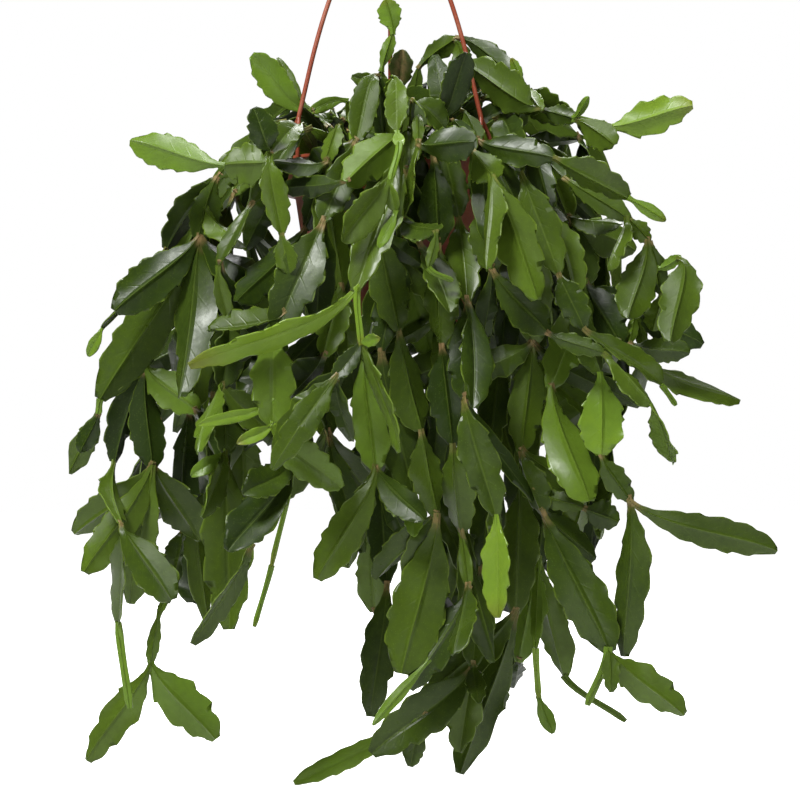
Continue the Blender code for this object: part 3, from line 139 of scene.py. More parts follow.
# Stems read from the front view: a name, the place in the soil that it grows from, as (x, depth),
# the main run, and side runs. A run lists where each segment ends: x, z and depth towards the
# viewer, its width and, where it isn't 0, its turn. A side run starts at a joint of an earlier run,
# given before its ends as run, joint. All are in mm and degrees, and a joint of 4.5 is halfway
# along the segment to joint 5.
frontStems = (
    ("bottom_front", (-6, 58), ((-8, 16, 64, 9), (-8, 6, 92, 14), (-8, -50, 98, 26, 20),
      (6, -120, 102, 28), (22, -190, 106, 28, -20), (33, -250, 110, 22), (8, -360, 122, 40)),
     (0, 6, (-10, -294, 98, 19))),
    ("bottom_middle", (20, 60), ((24, 16, 66, 9), (30, 2, 94, 13), (34, -60, 98, 26),
      (36, -130, 98, 28, 30), (44, -200, 94, 28), (50, -262, 94, 24), (55, -300, 102, 10),
      (14, -371, 130, 26)),
     (0, 7, (45, -346, 126, 14)), (0, 6, (73, -352, 118, 19)), (0, 7.7, (-12, -396, 126, 9))),
    ("bright_front", (2, 42), ((0, 38, 48, 9), (3, 58, 64, 12), (5, 20, 96, 17), (7, 8, 104, 9),
      (-24, -93, 140, 28)),
     (0, 4, (0, -15, 118, 5), (4, -36, 124, 12, 30), (-8, -62, 126, 9)),
     (0, 5, (-141, -144, 152, 15)), (0, 5, (-20, -130, 142, 5), (7, -205, 150, 10)),
     (3, 1, (-7, -125, 148, 9)), (3, 1, (-39, -154, 142, 14))),
    ("rounded_front", (24, 34), ((20, 30, 66, 8), (20, 11, 106, 9), (59, 12, 128, 27)),
     (0, 2, (8, -40, 118, 12, 20), (32, -50, 136, 20), (27, -76, 140, 8), (44, -85, 138, 4)),
     (1, 1, (20, -58, 118, 12), (42, -107, 126, 21))),
    ("right_front", (40, 26), ((44, 28, 68, 9), (58, 6, 102, 13, 20), (72, -13, 118, 25),
      (103, -98, 142, 31)),
     (0, 3, (68, -77, 128, 14))),
    ("left_front", (-10, 28), ((-8, 58, 32, 14), (-24, 12, 84, 21), (-47, -44, 114, 24),
      (-80, -121, 136, 33), (-82, -188, 144, 31), (-34, -230, 138, 24, 20)),
     (0, 5, (-107, -199, 150, 10)),
     (0, 5, (-68, -214, 134, 9), (-97, -270, 138, 9), (-139, -339, 142, 12)),
     (2, 1, (-83, -285, 120, 4), (-95, -327, 118, 4)), (0, 4.7, (-134, -186, 154, 9)),
     (0, 3.8, (-127, -120, 130, 14))),
    ("left_reach", (-30, 30), ((-36, 24, 66, 9), (-45, -2, 96, 14, 20), (-83, -2, 108, 22, 50),
      (-117, -4, 102, 31, 5), (-182, 13, 88, 25, -10))),
    ("upright_left", (-44, 22), ((-62, 24, 76, 9), (-84, 3, 122, 18, 10),
      (-76, -52, 128, 20, -15), (-71, -80, 126, 16)),
     (0, 2, (-96, 36, 124, 22, 20))),
    ("long_right", (38, 8), ((50, 34, 56, 9), (62, 13, 100, 14), (115, 1, 110, 23),
      (167, -27, 102, 20), (193, -43, 96, 10))),
    ("outer_left", (-52, 10), ((-74, 26, 46, 11), (-121, -13, 60, 20, 30),
      (-134, -57, 68, 24, 10), (-203, -168, 64, 36), (-204, -178, 62, 5), (-217, -205, 60, 15)),
     (0, 2, (-157, -63, 48, 21, -10), (-201, -118, 44, 24, 60), (-211, -138, 42, 9)),
     (0, 3, (-147, -166, 92, 37, 32)), (0, 2.5, (-101, -62, 82, 14))),
    ("pale_left", (-56, -6), ((-80, 20, 18, 10), (-128, -30, 28, 26, 40),
      (-158, -90, 38, 28, -40), (-172, -146, 54, 22), (-166, -216, 64, 25), (-182, -311, 50, 24)),
     (0, 5, (-214, -289, 86, 28, 10)), (0, 5, (-221, -262, 52, 26, -20)),
     (0, 5, (-133, -267, 44, 32, 20)),
     (0, 4, (-193, -212, 84, 11), (-188, -256, 90, 11), (-190, -325, 94, 12),
      (-182, -384, 96, 6))),
    ("lower_left", (-40, -22), ((-72, 22, -14, 10), (-110, -25, -6, 28, 45),
      (-128, -100, 6, 32, -55), (-140, -175, 16, 30, 45), (-145, -258, 28, 28, 30),
      (-153, -300, 34, 16), (-161, -316, 38, 6), (-168, -355, 40, 10), (-212, -421, 34, 25)),
     (0, 8, (-122, -406, 46, 32)), (0, 4, (-128, -322, 20, 20))),
    ("broad_left", (-22, 44), ((-56, 22, 74, 9), (-96, -30, 90, 18, 20), (-120, -75, 94, 14, 40),
      (-113, -112, 98, 12), (-118, -160, 106, 22), (-116, -207, 112, 18), (-112, -329, 118, 36)),
     (0, 6, (-139, -222, 114, 12)), (0, 6, (-132, -250, 122, 12)), (0, 5, (-134, -205, 118, 14))),
    ("centre_front", (14, 48), ((14, 22, 76, 8), (12, -8, 98, 18, 10), (8, -62, 108, 24, 30),
      (-6, -134, 118, 26), (16, -233, 128, 36), (17, -264, 126, 14)),
     (0, 3, (-18, -138, 104, 24), (-10, -218, 114, 26), (-51, -294, 130, 27)),
     (1, 2, (-30, -286, 106, 19))),
    ("mid_right", (32, 48), ((36, 14, 88, 8), (48, -40, 100, 22), (54, -100, 108, 25),
      (52, -168, 116, 23), (74, -250, 124, 27), (76, -321, 130, 20)),
     (0, 3, (58, -174, 128, 21))),
    ("right_second", (50, 14), ((74, 28, 54, 10), (92, -10, 92, 24, 10), (118, -80, 108, 27),
      (136, -119, 116, 22), (190, -158, 106, 16), (200, -172, 102, 4))),
    ("right_low", (46, 38), ((54, 14, 84, 8), (62, -32, 94, 18, 30), (72, -78, 102, 24),
      (110, -121, 120, 27), (150, -136, 124, 14), (183, -172, 116, 12), (198, -212, 108, 11))),
    ("right_drop", (58, 10), ((88, 20, 62, 11), (112, -35, 86, 20, 10), (130, -95, 96, 26, 20),
      (147, -150, 106, 22), (148, -207, 114, 32), (169, -240, 108, 18), (271, -274, 74, 32)),
     (0, 6, (164, -348, 106, 23))),
    ("lower_band", (56, -4), ((86, 14, 48, 10), (122, -13, 72, 16), (168, -42, 82, 17),
      (182, -58, 80, 14), (190, -94, 78, 16), (184, -120, 76, 18)),
     (0, 3, (153, -78, 92, 20, 72)), (0, 4.5, (204, -68, 80, 9))),
    ("high_right", (46, -8), ((64, 42, 16, 12), (106, 35, 46, 16), (131, 28, 56, 15),
      (157, 10, 76, 22)),
     (0, 3, (153, 23, 58, 6), (212, 38, 54, 26)), (0, 3, (139, 44, 56, 7))),
    ("arching", (16, -12), ((20, 64, -8, 13), (47, 85, 4, 16), (93, 51, 30, 19, 10),
      (88, 20, 52, 15)),
     (0, 2, (52, 64, 18, 15)), (0, 3, (85, 71, 34, 8)), (0, 3, (106, 34, 38, 13))),
    ("top_leaf", (-4, 2), ((-6, 38, 4, 8), (-6, 62, 6, 10), (2, 88, 6, 10), (-3, 112, 6, 18))),
    ("upper_left", (-24, 4), ((-30, 41, 8, 11), (-57, 33, 14, 10), (-97, 73, 20, 23)),
     (0, 2, (-79, 71, 6, 9, 30)), (0, 2, (-98, 14, 26, 20))),
    ("old_crown", (8, 14), ((6, 46, 24, 12), (9, 77, 36, 18)),
     (0, 1, (-27, 58, 28, 14)), (0, 1, (36, 26, 62, 26))),
    ("right_corky", (60, -14), ((92, 16, 22, 10), (126, -42, 38, 28, 45), (137, -88, 54, 26),
      (172, -108, 60, 24), (178, -139, 62, 9), (245, -169, 48, 16)),
     (0, 2, (161, -46, 62, 15)), (0, 3, (161, -129, 80, 31, 10)),
     (0, 4, (168, -128, 66, 9), (210, -135, 74, 19))),
    ("lower_right", (56, 26), ((84, 12, 52, 9), (98, -50, 66, 26), (100, -130, 76, 30, 20),
      (92, -205, 86, 26), (107, -248, 94, 17), (154, -345, 114, 35), (206, -389, 96, 26)),
     (0, 6, (155, -373, 110, 13)), (0, 6, (138, -382, 116, 6)),
     (0, 4.6, (136, -244, 100, 14), (160, -254, 102, 22))),
    ("bottom_long", (62, 4), ((84, 12, 32, 9), (84, -60, 38, 28, 40), (78, -135, 46, 32, -50),
      (70, -210, 56, 30, 40), (64, -285, 66, 28, -20), (58, -355, 76, 26), (-13, -416, 86, 33)),
     (0, 6, (49, -415, 72, 25)), (0, 6, (62, -381, 88, 14)), (0, 6.6, (-67, -437, 80, 18)),
     (0, 6.5, (14, -425, 90, 16))),
    ("right_bottom", (62, -20), ((86, 10, -30, 9), (98, -60, -24, 28, 50),
      (98, -140, 24, 32, -60), (92, -222, 36, 32, 50), (88, -318, 50, 30, 10),
      (49, -430, 58, 27))),
    ("dark_middle", (-18, -50), ((-20, 18, -84, 9), (-22, -60, -96, 28, 50),
      (-16, -140, -82, 32, -40), (-8, -220, -60, 30, 30), (-2, -297, -40, 26),
      (-14, -390, -30, 27))),
    ("thin_right", (58, -32), ((86, 10, -28, 9), (108, -60, -24, 28, 60),
      (116, -140, -12, 32, -55), (112, -220, 0, 32, 65), (104, -282, 12, 28, 20),
      (90, -352, 18, 25)),
     (0, 5, (102, -343, 28, 9), (104, -376, 28, 5), (114, -402, 28, 12)),
     (0, 5, (122, -362, 2, 23), (165, -393, -2, 5))),
)

eyePlace = Vector((photoView["x"], -photoView["distance"], photoView["z"] - potSizes["rimDrop"]))
toViewer = Vector((0.0, -1.0, 0.0))


# The real place of a point that the front view shows at x and z, at a depth towards the viewer
def seen(x, z, depth):
    share = (photoView["distance"] - depth) / photoView["distance"]
    height = photoView["z"] + (z - photoView["z"]) * share - potSizes["rimDrop"]
    return Vector((photoView["x"] + (x - photoView["x"]) * share, -depth, height))


# Where the front view shows a real place, in mm from the rim's centre
def shown(place):
    share = (photoView["distance"] + place.y) / photoView["distance"]
    x = photoView["x"] + (place.x - photoView["x"]) / share
    z = photoView["z"] + (place.z + potSizes["rimDrop"] - photoView["z"]) / share
    return x / mm, z / mm


def readLine(line, x):
    if x <= line[0][0]:
        return line[0][1]
    for (x0, z0), (x1, z1) in zip(line, line[1:]):
        if x <= x1:
            return z0 + (z1 - z0) * (x - x0) / (x1 - x0)
    return line[-1][1]


def insideOutline(place):
    x, z = shown(place)
    if not crownLine[0][0] < x < crownLine[-1][0]:
        return False
    return readLine(hemLine, x) < z < readLine(crownLine, x)


# The chances of a segment's form, as shares of its length or its half width
segmentForm = {"sag": 0.12, "upright": 0.8, "bow": 0.05, "shift": (0.005, 0.035),
               "cup": (0.02, 0.24), "wave": (0.03, 0.09), "swell": 0.05}


# One segment between two joints: its curve, the way that it faces, and its outline
def makeSegment(origin, end, width, turn, face, seed, kind=None, sag=segmentForm["sag"]):
    start, startWay, startFace, before = origin
    draw = random.Random(seed)
    chord = end - start
    length = chord.length
    chordWay = chord.normalized()
    carried, upright = stemSizes["carriedWay"], segmentForm["upright"]
    flat = face - chordWay * face.dot(chordWay)
    if flat.length < stemSizes["flatLimit"]:
        flat = flat + Vector((0.0, 0.0, upright)) - chordWay * upright * chordWay.z
    flat = Matrix.Rotation(math.radians(turn), 3, chordWay) @ flat.normalized()
    if startFace is not None and flat.dot(startFace) < 0.0:
        flat = -flat
    if kind is None:
        kind = ("notched" if width > stemSizes["notchedWidth"] else
                "young" if width > stemSizes["youngWidth"] else "stalk")
    return {
        "before": before, "start": start, "end": end, "length": length,
        "beginWay": (startWay * carried + chordWay * (1.0 - carried)).normalized(),
        "endWay": (chordWay + Vector((0.0, 0.0, -sag))).normalized(),
        "face": flat, "startFace": startFace if startFace is not None else flat,
        "half": width / 2.0, "kind": kind,
        "bow": draw.uniform(-segmentForm["bow"], segmentForm["bow"]) * length,
        "shift": draw.uniform(*segmentForm["shift"]), "cup": draw.uniform(*segmentForm["cup"]),
        "wave": draw.uniform(*segmentForm["wave"]), "phase": draw.uniform(0.0, 6.28),
        "swell": draw.uniform(-segmentForm["swell"], segmentForm["swell"]),
    }


# The middle of a segment at a share of its length, with its ways along, across and out
def section(segment, share):
    s, s2, s3 = share, share ** 2, share ** 3
    reach = segment["length"] * stemSizes["steer"]
    place = (segment["start"] * (2 * s3 - 3 * s2 + 1) + segment["end"] * (3 * s2 - 2 * s3)
             + segment["beginWay"] * reach * (s3 - 2 * s2 + s)
             + segment["endWay"] * reach * (s3 - s2))
    along = (segment["start"] * (6 * s2 - 6 * s) + segment["end"] * (6 * s - 6 * s2)
             + segment["beginWay"] * reach * (3 * s2 - 4 * s + 1)
             + segment["endWay"] * reach * (3 * s2 - 2 * s)).normalized()
    face = segment["startFace"] if share < 0.01 else segment["face"]
    out = (face - along * face.dot(along)).normalized()
    place = place + out * segment["bow"] * 4.0 * share * (1.0 - share)
    return place, along, along.cross(out), out


# The four points of a neck: left, front, right and back
def neck(segment, share, halfWidth, halfDepth, grow):
    place, along, across, out = section(segment, share)
    wide, deep = halfWidth + grow, halfDepth + grow
    return [place - across * wide, place + out * deep, place + across * wide, place - out * deep]


# Points of one margin or of the midrib, each with its share of the length
def marginPoints(segment, side, grow):
    points = []
    for share, reach in outlines[segment["kind"]]:
        shifted = share + side * segment["shift"] * (1.0 if share < 0.9 else 0.3)
        place, along, across, out = section(segment, shifted)
        half = segment["half"] * (reach + side * segment["swell"] * reach) + grow
        lift = segment["cup"] * half + segment["wave"] * segment["half"] * math.sin(
            segment["phase"] + side * 1.3 + 9.0 * shifted)
        points.append((shifted, place + across * half * side + out * lift))
    return points


def midribPoints(segment, side, grow):
    points = []
    for share in midribs[segment["kind"]]:
        place, along, across, out = section(segment, share)
        points.append((share, place + out * side * (stemSizes["bladeHalfDepth"] + grow)))
    return points


def endNeck(segment, last, grow):
    half = segment["half"]
    if segment["kind"] == "stalk":
        halfWidth = max(min(half, stemSizes["stalkHalfWidth"]), 0.9 * mm)
    else:
        halfWidth = min(stemSizes["neckHalfWidth"], half * 0.7)
    if last:
        halfWidth = max(halfWidth, half * stemSizes["tipWidth"])
    return neck(segment, 1.0, halfWidth, min(stemSizes["neckHalfDepth"], half), grow)


# Triangles between two lines of (share, vertex) that run from the same base to the same tip
def strip(one, other, flip):
    faces = []
    i = j = 0
    while i < len(one) - 1 or j < len(other) - 1:
        stepOne = j == len(other) - 1 or (
            i < len(one) - 1 and one[i + 1][0] <= other[j + 1][0])
        if stepOne:
            faces.append((one[i][1], one[i + 1][1], other[j][1]))
            i += 1
        else:
            faces.append((one[i][1], other[j + 1][1], other[j][1]))
            j += 1
    return [face[::-1] for face in faces] if flip else faces


# A run of segments as one closed ribbon, from a share of its first segment: vertices, triangles
def ribbon(segments, grow=0.0, firstNeck=None, begin=0.0):
    before = segments[0]["before"]
    if firstNeck:
        points = list(firstNeck)
    elif before and begin == 0.0:
        points = endNeck(before, False, grow)
    else:
        points = neck(segments[0], begin, stemSizes["neckHalfWidth"],
                      stemSizes["neckHalfDepth"], grow)
    ring = [0, 1, 2, 3]
    faces = [(0, 1, 2), (0, 2, 3)]
    for number, segment in enumerate(segments):
        last = number == len(segments) - 1
        lines = [marginPoints(segment, -1, grow), midribPoints(segment, 1, grow),
                 marginPoints(segment, 1, grow), midribPoints(segment, -1, grow)]
        end = endNeck(segment, last, grow)
        indexed = []
        for line, corner in zip(lines, ring):
            row = [(0.0, corner)]
            for share, point in line:
                if share > begin or number > 0:
                    row.append((share, len(points)))
                    points.append(point)
            indexed.append(row)
        newRing = []
        for row, point in zip(indexed, end):
            row.append((1.0, len(points)))
            newRing.append(len(points))
            points.append(point)
        left, front, right, back = indexed
        faces += (strip(left, front, False) + strip(right, front, True)
                  + strip(left, back, True) + strip(right, back, False))
        ring = newRing
    faces += [(ring[0], ring[2], ring[1]), (ring[0], ring[3], ring[2])]
    return points, faces


# Several shapes as one: all their points, and their faces
def mergeShapes(shapes):
    points, faces = [], []
    for morePoints, moreFaces in shapes:
        start = len(points)
        points += morePoints
        faces += [[start + i for i in face] for face in moreFaces]
    return points, faces


# What is in place so far: the pot, the hanger and the soil, and the segments of each stem
class Space:
    def __init__(self, pieces):
        shapes = []
        for piece in pieces:
            shape = piece.evaluated_get(bpy.context.evaluated_depsgraph_get()).to_mesh()
            shapes.append(([piece.matrix_world @ vertex.co for vertex in shape.vertices],
                           [list(face.vertices) for face in shape.polygons]))
        self.fixed = BVHTree.FromPolygons(*mergeShapes(shapes))
        self.trees = {}
        self.shapes = {}

    def isClear(self, name, segment, clearance, ownShare=stemSizes["ownShare"]):
        probe = BVHTree.FromPolygons(*ribbon([segment], clearance))
        if self.fixed.overlap(probe):
            return False
        for other, trees in self.trees.items():
            if other != name and any(tree.overlap(probe) for tree in trees):
                return False
        probe = BVHTree.FromPolygons(*ribbon([segment], 0.0, begin=ownShare))
        return not any(tree.overlap(probe) for tree in self.trees.get(name, ()))

    def keep(self, name, segment):
        shape = ribbon([segment])
        self.trees.setdefault(name, []).append(BVHTree.FromPolygons(*shape))
        self.shapes.setdefault(name, []).append(shape)

    # A finished stem is tested as one tree
    def closeStem(self, name):
        self.trees[name] = [BVHTree.FromPolygons(*mergeShapes(self.shapes[name]))]

    # One tree of all the stems grown so far
    def wholeTree(self):
        return BVHTree.FromPolygons(*mergeShapes(
            [shape for shapes in self.shapes.values() for shape in shapes]))

    # Whether foliage is the first thing that the front view meets at x and z
    def isCovered(self, x, z):
        way = (seen(x * mm, z * mm, 0.0) - eyePlace).normalized()
        fixed = self.fixed.ray_cast(eyePlace, way)[3]
        for trees in self.trees.values():
            for tree in trees:
                reach = tree.ray_cast(eyePlace, way)[3]
                if reach is not None and (fixed is None or reach < fixed):
                    return True
        return False


# Places in the soil, on a spiral that fills the pot evenly
def spiralHoles():
    holes = []
    for i in range(soilSizes["holeCount"]):
        radius = soilSizes["holeCircle"] * math.sqrt((i + 0.5) / soilSizes["holeCount"])
        angle = i * goldenAngle
        holes.append(Vector((radius * math.cos(angle), radius * math.sin(angle))))
    return holes


def takeHole(holes, x, y):
    wish = Vector((x, y))
    hole = min(holes, key=lambda place: (place - wish).length)
    holes.remove(hole)
    return hole


# The straight foot of a stem, in its hole and a little above the soil
def footSegment(hole):
    top = soilHeight(hole.length)
    outward = Vector((hole.x, hole.y, 0.0)).normalized()
    start = Vector((hole.x, hole.y, top - soilSizes["holeDepth"] + potSizes["gap"]))
    end = Vector((hole.x, hole.y, top + stemSizes["stalkRise"]))
    origin = start, Vector((0.0, 0.0, 1.0)), None, None
    segment = makeSegment(origin, end, stemSizes["stalkHalfWidth"] * 2.0, 0.0, outward, 0,
                          "stalk", 0.0)
    segment["bow"] = 0.0
    segment["foot"] = True
    return segment


# What the next segment of a run starts from: a place, a way, a face and the segment before
def runEnd(segment):
    return segment["end"], segment["endWay"], segment["face"], segment


# The joint that a side run starts from
def jointAt(run, joint):
    number = min(int(joint), len(run["segments"]))
    share = joint - int(joint)
    if share > 0.0 and number < len(run["segments"]):
        segment = run["segments"][number]
        place, along, across, out = section(segment, share)
        return place, along, segment["face"], None
    return sunkEnd(run["segments"][number - 1])


# A place just before a segment's end, so that what grows from it is sunk well in
def sunkEnd(segment):
    place, along, across, out = section(segment, 1.0 - stemSizes["sink"] / segment["length"])
    return place, along, segment["face"], None


# The rounds in which a segment of the front view looks for a place: its clearance, the share of
# its width, whether it may step aside, and the share of it that may touch its own stem
fitRounds = (("clearance", 1.0, False, "ownShare"), ("tightClearance", 0.9, True, "ownShare"),
             ("tightClearance", 1.0, False, "looseShare"),
             ("tightClearance", 0.7, True, "looseShare"))
# Steps aside as (dx, dz) in mm, first to last, also for the first segments inside the crown
sideSteps = {False: ((0, 0), (4, 0), (-4, 0), (0, 5), (0, -5)),
             True: ((0, 0), (9, 0), (-9, 0), (0, 8), (0, -8), (16, 8), (-16, 8), (24, 0), (-24, 0))}


# A segment of the front view where it's clear. A narrow listed one is a broad one turned aside
def fitSegment(name, start, listed, seed, space, hidden):
    x, z, depth, width, turn = (*listed, 0)[:5]
    turnedWidth = stemSizes["turnedWidth"]
    long = (seen(x * mm, z * mm, depth * mm) - start[0]).length > stemSizes["turnedLength"]
    if stemSizes["turnedFrom"] <= width < turnedWidth and not hidden and long:
        tilt = math.degrees(math.acos(width / turnedWidth))
        turn += tilt if random.Random(seed).random() < 0.5 else -tilt
        width = turnedWidth
    for clearance, scale, aside, own in fitRounds:
        for dx, dz in sideSteps[hidden] if aside else [(0, 0)]:
            for turnTry in stemSizes["turnTries"]:
                for depthTry in stemSizes["depthTries"]:
                    end = seen((x + dx) * mm, (z + dz) * mm, (depth + depthTry) * mm)
                    segment = makeSegment(start, end, width * scale * mm, turn + turnTry,
                                          toViewer, seed)
                    if space.isClear(name, segment, stemSizes[clearance], stemSizes[own]):
                        return segment
    return None


# Grow a stem that the front view shows: a segment that can't pass moves in depth or turns
def growFrontStem(name, foot, main, sides, space):
    runs = []
    listed = [((None, None), main)] + [(side[:2], side[2:]) for side in sides]
    for number, ((parent, joint), ends) in enumerate(listed):
        run = {"segments": []}
        runs.append(run)
        if parent is None:
            run["segments"].append(foot)
            start = runEnd(foot)
        else:
            joint += 1 if parent == 0 else 0
            if len(runs[parent]["segments"]) < joint:
                continue
            start = jointAt(runs[parent], joint)
        for index, end in enumerate(ends):
            found = fitSegment(name, start, end, name + str((number, index)), space,
                               parent is None and index < 3)
            if found is None:
                break
            run["segments"].append(found)
            space.keep(name, found)
            start = runEnd(found)
    space.closeStem(name)
    return runs


# Where a filler's joints would like to be: up from its hole, over the rim and down in steps
def fillerPath(hole, angle, reach, crest, bottom, draw):
    outward = Vector((math.cos(angle), math.sin(angle), 0.0))
    across = Vector((-outward.y, outward.x, 0.0))
    start = Vector((hole.x, hole.y, 0.0)).dot(outward)
    sideways = Vector((hole.x, hole.y, 0.0)).dot(across)
    (rise, riseHeight), (fall, fallHeight) = fillerRule["rise"], fillerRule["fall"]
    crestReach = max(start + fillerRule["crestShare"] * (reach - start), fillerRule["crestReach"])
    stops = [(start + rise * (crestReach - start), riseHeight * crest), (crestReach, crest),
             (crestReach + fall * (reach - crestReach), crest * fallHeight)]
    if reach > fillerRule["overRim"][0]:
        stops.append((reach, fillerRule["overRim"][1]))
    height = stops[-1][1]
    while height > bottom:
        height -= draw.uniform(*fillerRule["drop"])
        reach += draw.uniform(*fillerRule["widen"])
        stops.append((reach, height))
    path = []
    for number, (distance, height) in enumerate(stops):
        drift = sideways * max(0.0, 1.0 - 0.4 * number)
        drift += draw.uniform(-fillerRule["drift"], fillerRule["drift"])
        rise = Vector((0.0, 0.0, height - potSizes["rimDrop"]))
        path.append(outward * distance + across * drift + rise)
    return path


# Grow a filler stem: each segment takes the first of its seeded tries that is clear
def growFiller(name, foot, hole, angle, reach, crest, bottom, space):
    draw = random.Random(name + str(fillerRule["seed"]))
    runs = [{"segments": [foot]}]
    outward = Vector((math.cos(angle), math.sin(angle), 0.0))
    start = runEnd(foot)
    first = fillerRule["firstWidths"]
    for index, wish in enumerate(fillerPath(hole, angle, reach, crest, bottom, draw)):
        width = first[index] if index < len(first) else draw.uniform(*fillerRule["width"])
        found = tryFiller(name, start, wish, width * mm, outward, name + str(index), draw,
                          space, index > 1)
        if found is None:
            break
        runs[0]["segments"].append(found)
        space.keep(name, found)
        start = runEnd(found)
        if index > 1 and draw.random() < fillerRule["forkChance"]:
            side = 1.0 if draw.random() < 0.5 else -1.0
            swing = Vector((-outward.y, outward.x, 0.0)) * side
            aim = (swing * draw.uniform(0.4, 0.8) + outward * draw.uniform(0.1, 0.5)
                   + Vector((0.0, 0.0, -0.8))).normalized()
            wish = start[0] + aim * draw.uniform(*fillerRule["forkLength"])
            branch = tryFiller(name, sunkEnd(found), wish,
                               draw.uniform(*fillerRule["forkWidth"]) * mm, outward,
                               name + "side" + str(index), draw, space, True)
            if branch:
                space.keep(name, branch)
                runs.append({"segments": [branch]})
    space.closeStem(name)
    return runs


def tryFiller(name, start, wish, width, outward, seed, draw, space, hanging):
    across = Vector((-outward.y, outward.x, 0.0))
    kind = "plain" if width > stemSizes["notchedWidth"] else None
    for attempt in range(fillerRule["tries"]):
        spread = fillerRule["spread"][0] + fillerRule["spread"][1] * attempt
        end = (wish + across * draw.uniform(-spread, spread)
               + outward * draw.uniform(-spread, spread))
        end.z += draw.uniform(-0.5, 0.5) * spread
        turn = draw.uniform(-fillerRule["turn"], fillerRule["turn"])
        if hanging and not insideOutline(end):
            continue
        segment = makeSegment(start, end, width * (1.0 - fillerRule["narrowing"] * attempt), turn,
                              outward, seed, kind)
        early = attempt < fillerRule["tries"] / 2
        if space.isClear(name, segment, stemSizes["clearance" if early else "tightClearance"]):
            return segment
    return None


def fillerPlan():
    plan = []
    for ring, first, last, count, reach, crest, bottom in fillerRule["rings"]:
        for i in range(count):
            angle = first + (last - first) * (i + 0.5) / count
            draw = random.Random(ring + str(i + fillerRule["seed"]))
            plan.append((ring + "_" + str(i + 1), math.radians(angle + draw.uniform(-4.0, 4.0)),
                         (reach + draw.uniform(-10.0, 12.0)) * mm,
                         (crest + draw.uniform(-6.0, 8.0)) * mm,
                         (bottom + draw.uniform(-35.0, 35.0)) * mm))
    return plan


# All stems, grown one after another round the pot, the arms and each other
def growAll(space):
    holes = spiralHoles()
    rows = []
    for name, (x, depth), main, *sides in frontStems:
        rows.append((name, takeHole(holes, x * mm, -depth * mm), growFrontStem, (main, sides)))
    for name, angle, *sizes in fillerPlan():
        inner = soilSizes["holeCircle"] * (0.9 if sizes[0] < 0.12 else 0.5)
        hole = takeHole(holes, inner * math.cos(angle), inner * math.sin(angle))
        rows.append((name, hole, growFiller, (hole, angle, *sizes)))
    feet = {name: footSegment(hole) for name, hole, grow, given in rows}
    for name, foot in feet.items():
        space.keep(name, foot)
    stems = []
    for name, hole, grow, given in rows:
        stems.append((name, grow(name, feet[name], *given, space)))
    return stems


# The front view's open gaps, as (x0, x1, z0, z1): the large ones, and others that the segments
# added here leave open too
openGaps = ((-80, -58, -62, -30), (28, 58, -58, -22), (-66, -24, -330, -224),
            (-48, -20, -420, -300))
smallGaps = ((-225, -187, -223, -161), (-225, -196, -201, -130), (188, 222, -133, -69),
             (-164, -150, -308, -251), (154, 180, -100, -48), (130, 172, -24, 12),
             (-159, -140, -225, -192), (-52, -31, -221, -192), (-25, 2, -316, -255),
             (170, 184, -318, -258), (-94, -83, -259, -225), (135, 154, -274, -253),
             (150, 170, -203, -176), (-194, -170, -97, -72), (27, 58, -58, -28))

# Side segments that close gaps of the front view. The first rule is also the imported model's, the
# second adds segments that are only here. A gap is reached from joints at best away, over it
# unless it's above the crown. Places are in mm; deeper, length and fullLength are in metres
gapSpan = {"x": (-220, 260), "z": (-390, 80), "crown": -25.0, "above": 0.4, "depth": 55.0}
coverRule = {"seed": 41, "step": 14, "jitter": 5.0, "margins": (9.0, 4.0), "limit": 32,
             "reach": (8.0, 62.0), "best": 31.0, "behind": 0.3, "back": 0.05, "joints": 8,
             "tries": 9, "deeper": (-0.012, 0.030), "past": (1.4, 2.0), "length": (0.05, 0.085),
             "fullLength": 0.06, "width": (27.0, 33.0), "narrowing": 0.0, "turn": 35.0,
             "clearance": 0.0007, "open": openGaps, "mark": ""}
gapRule = {"seed": 11, "step": 9, "jitter": 3.0, "margins": (5.0,), "limit": 120,
           "reach": (6.0, 85.0), "best": 32.0, "behind": 0.0, "back": 0.08, "joints": 30,
           "tries": 14, "deeper": (-0.025, 0.020), "past": (1.3, 2.0), "length": (0.045, 0.085),
           "fullLength": 0.03, "width": (18.0, 30.0), "narrowing": 0.03, "turn": 45.0,
           "clearance": 0.0005, "open": openGaps + smallGaps, "mark": "gap", "ahead": 0.45}


def stemJoints(stems):
    return [(name, runs, segment) for name, runs in stems for run in runs
            for segment in run["segments"] if not segment.get("foot")]


# Close the gaps where the front view still sees the pot or nothing between the stems. The test
# says whether a segment suits the place
def closeGaps(stems, space, rule, suits):
    draw = random.Random(rule["seed"])
    joints = stemJoints(stems)
    jitter = rule["jitter"]
    wishes = []
    for x in range(*gapSpan["x"], rule["step"]):
        for z in range(*gapSpan["z"], rule["step"]):
            wishes.append((x + draw.uniform(-jitter, jitter), z + draw.uniform(-jitter, jitter)))
    draw.shuffle(wishes)
    added = 0
    for margin in rule["margins"]:
        for x, z in wishes:
            inside = readLine(hemLine, x) + margin < z < readLine(crownLine, x) - margin
            if not inside or inGaps(x, z, rule["open"]):
                continue
            if added < rule["limit"] and not space.isCovered(x, z):
                added += closeGap(joints, space, x, z, draw, rule, suits)
    print("closed gaps with", added, "segments")


def inGaps(x, z, gaps):
    return any(x0 < x < x1 and z0 < z < z1 for x0, x1, z0, z1 in gaps)


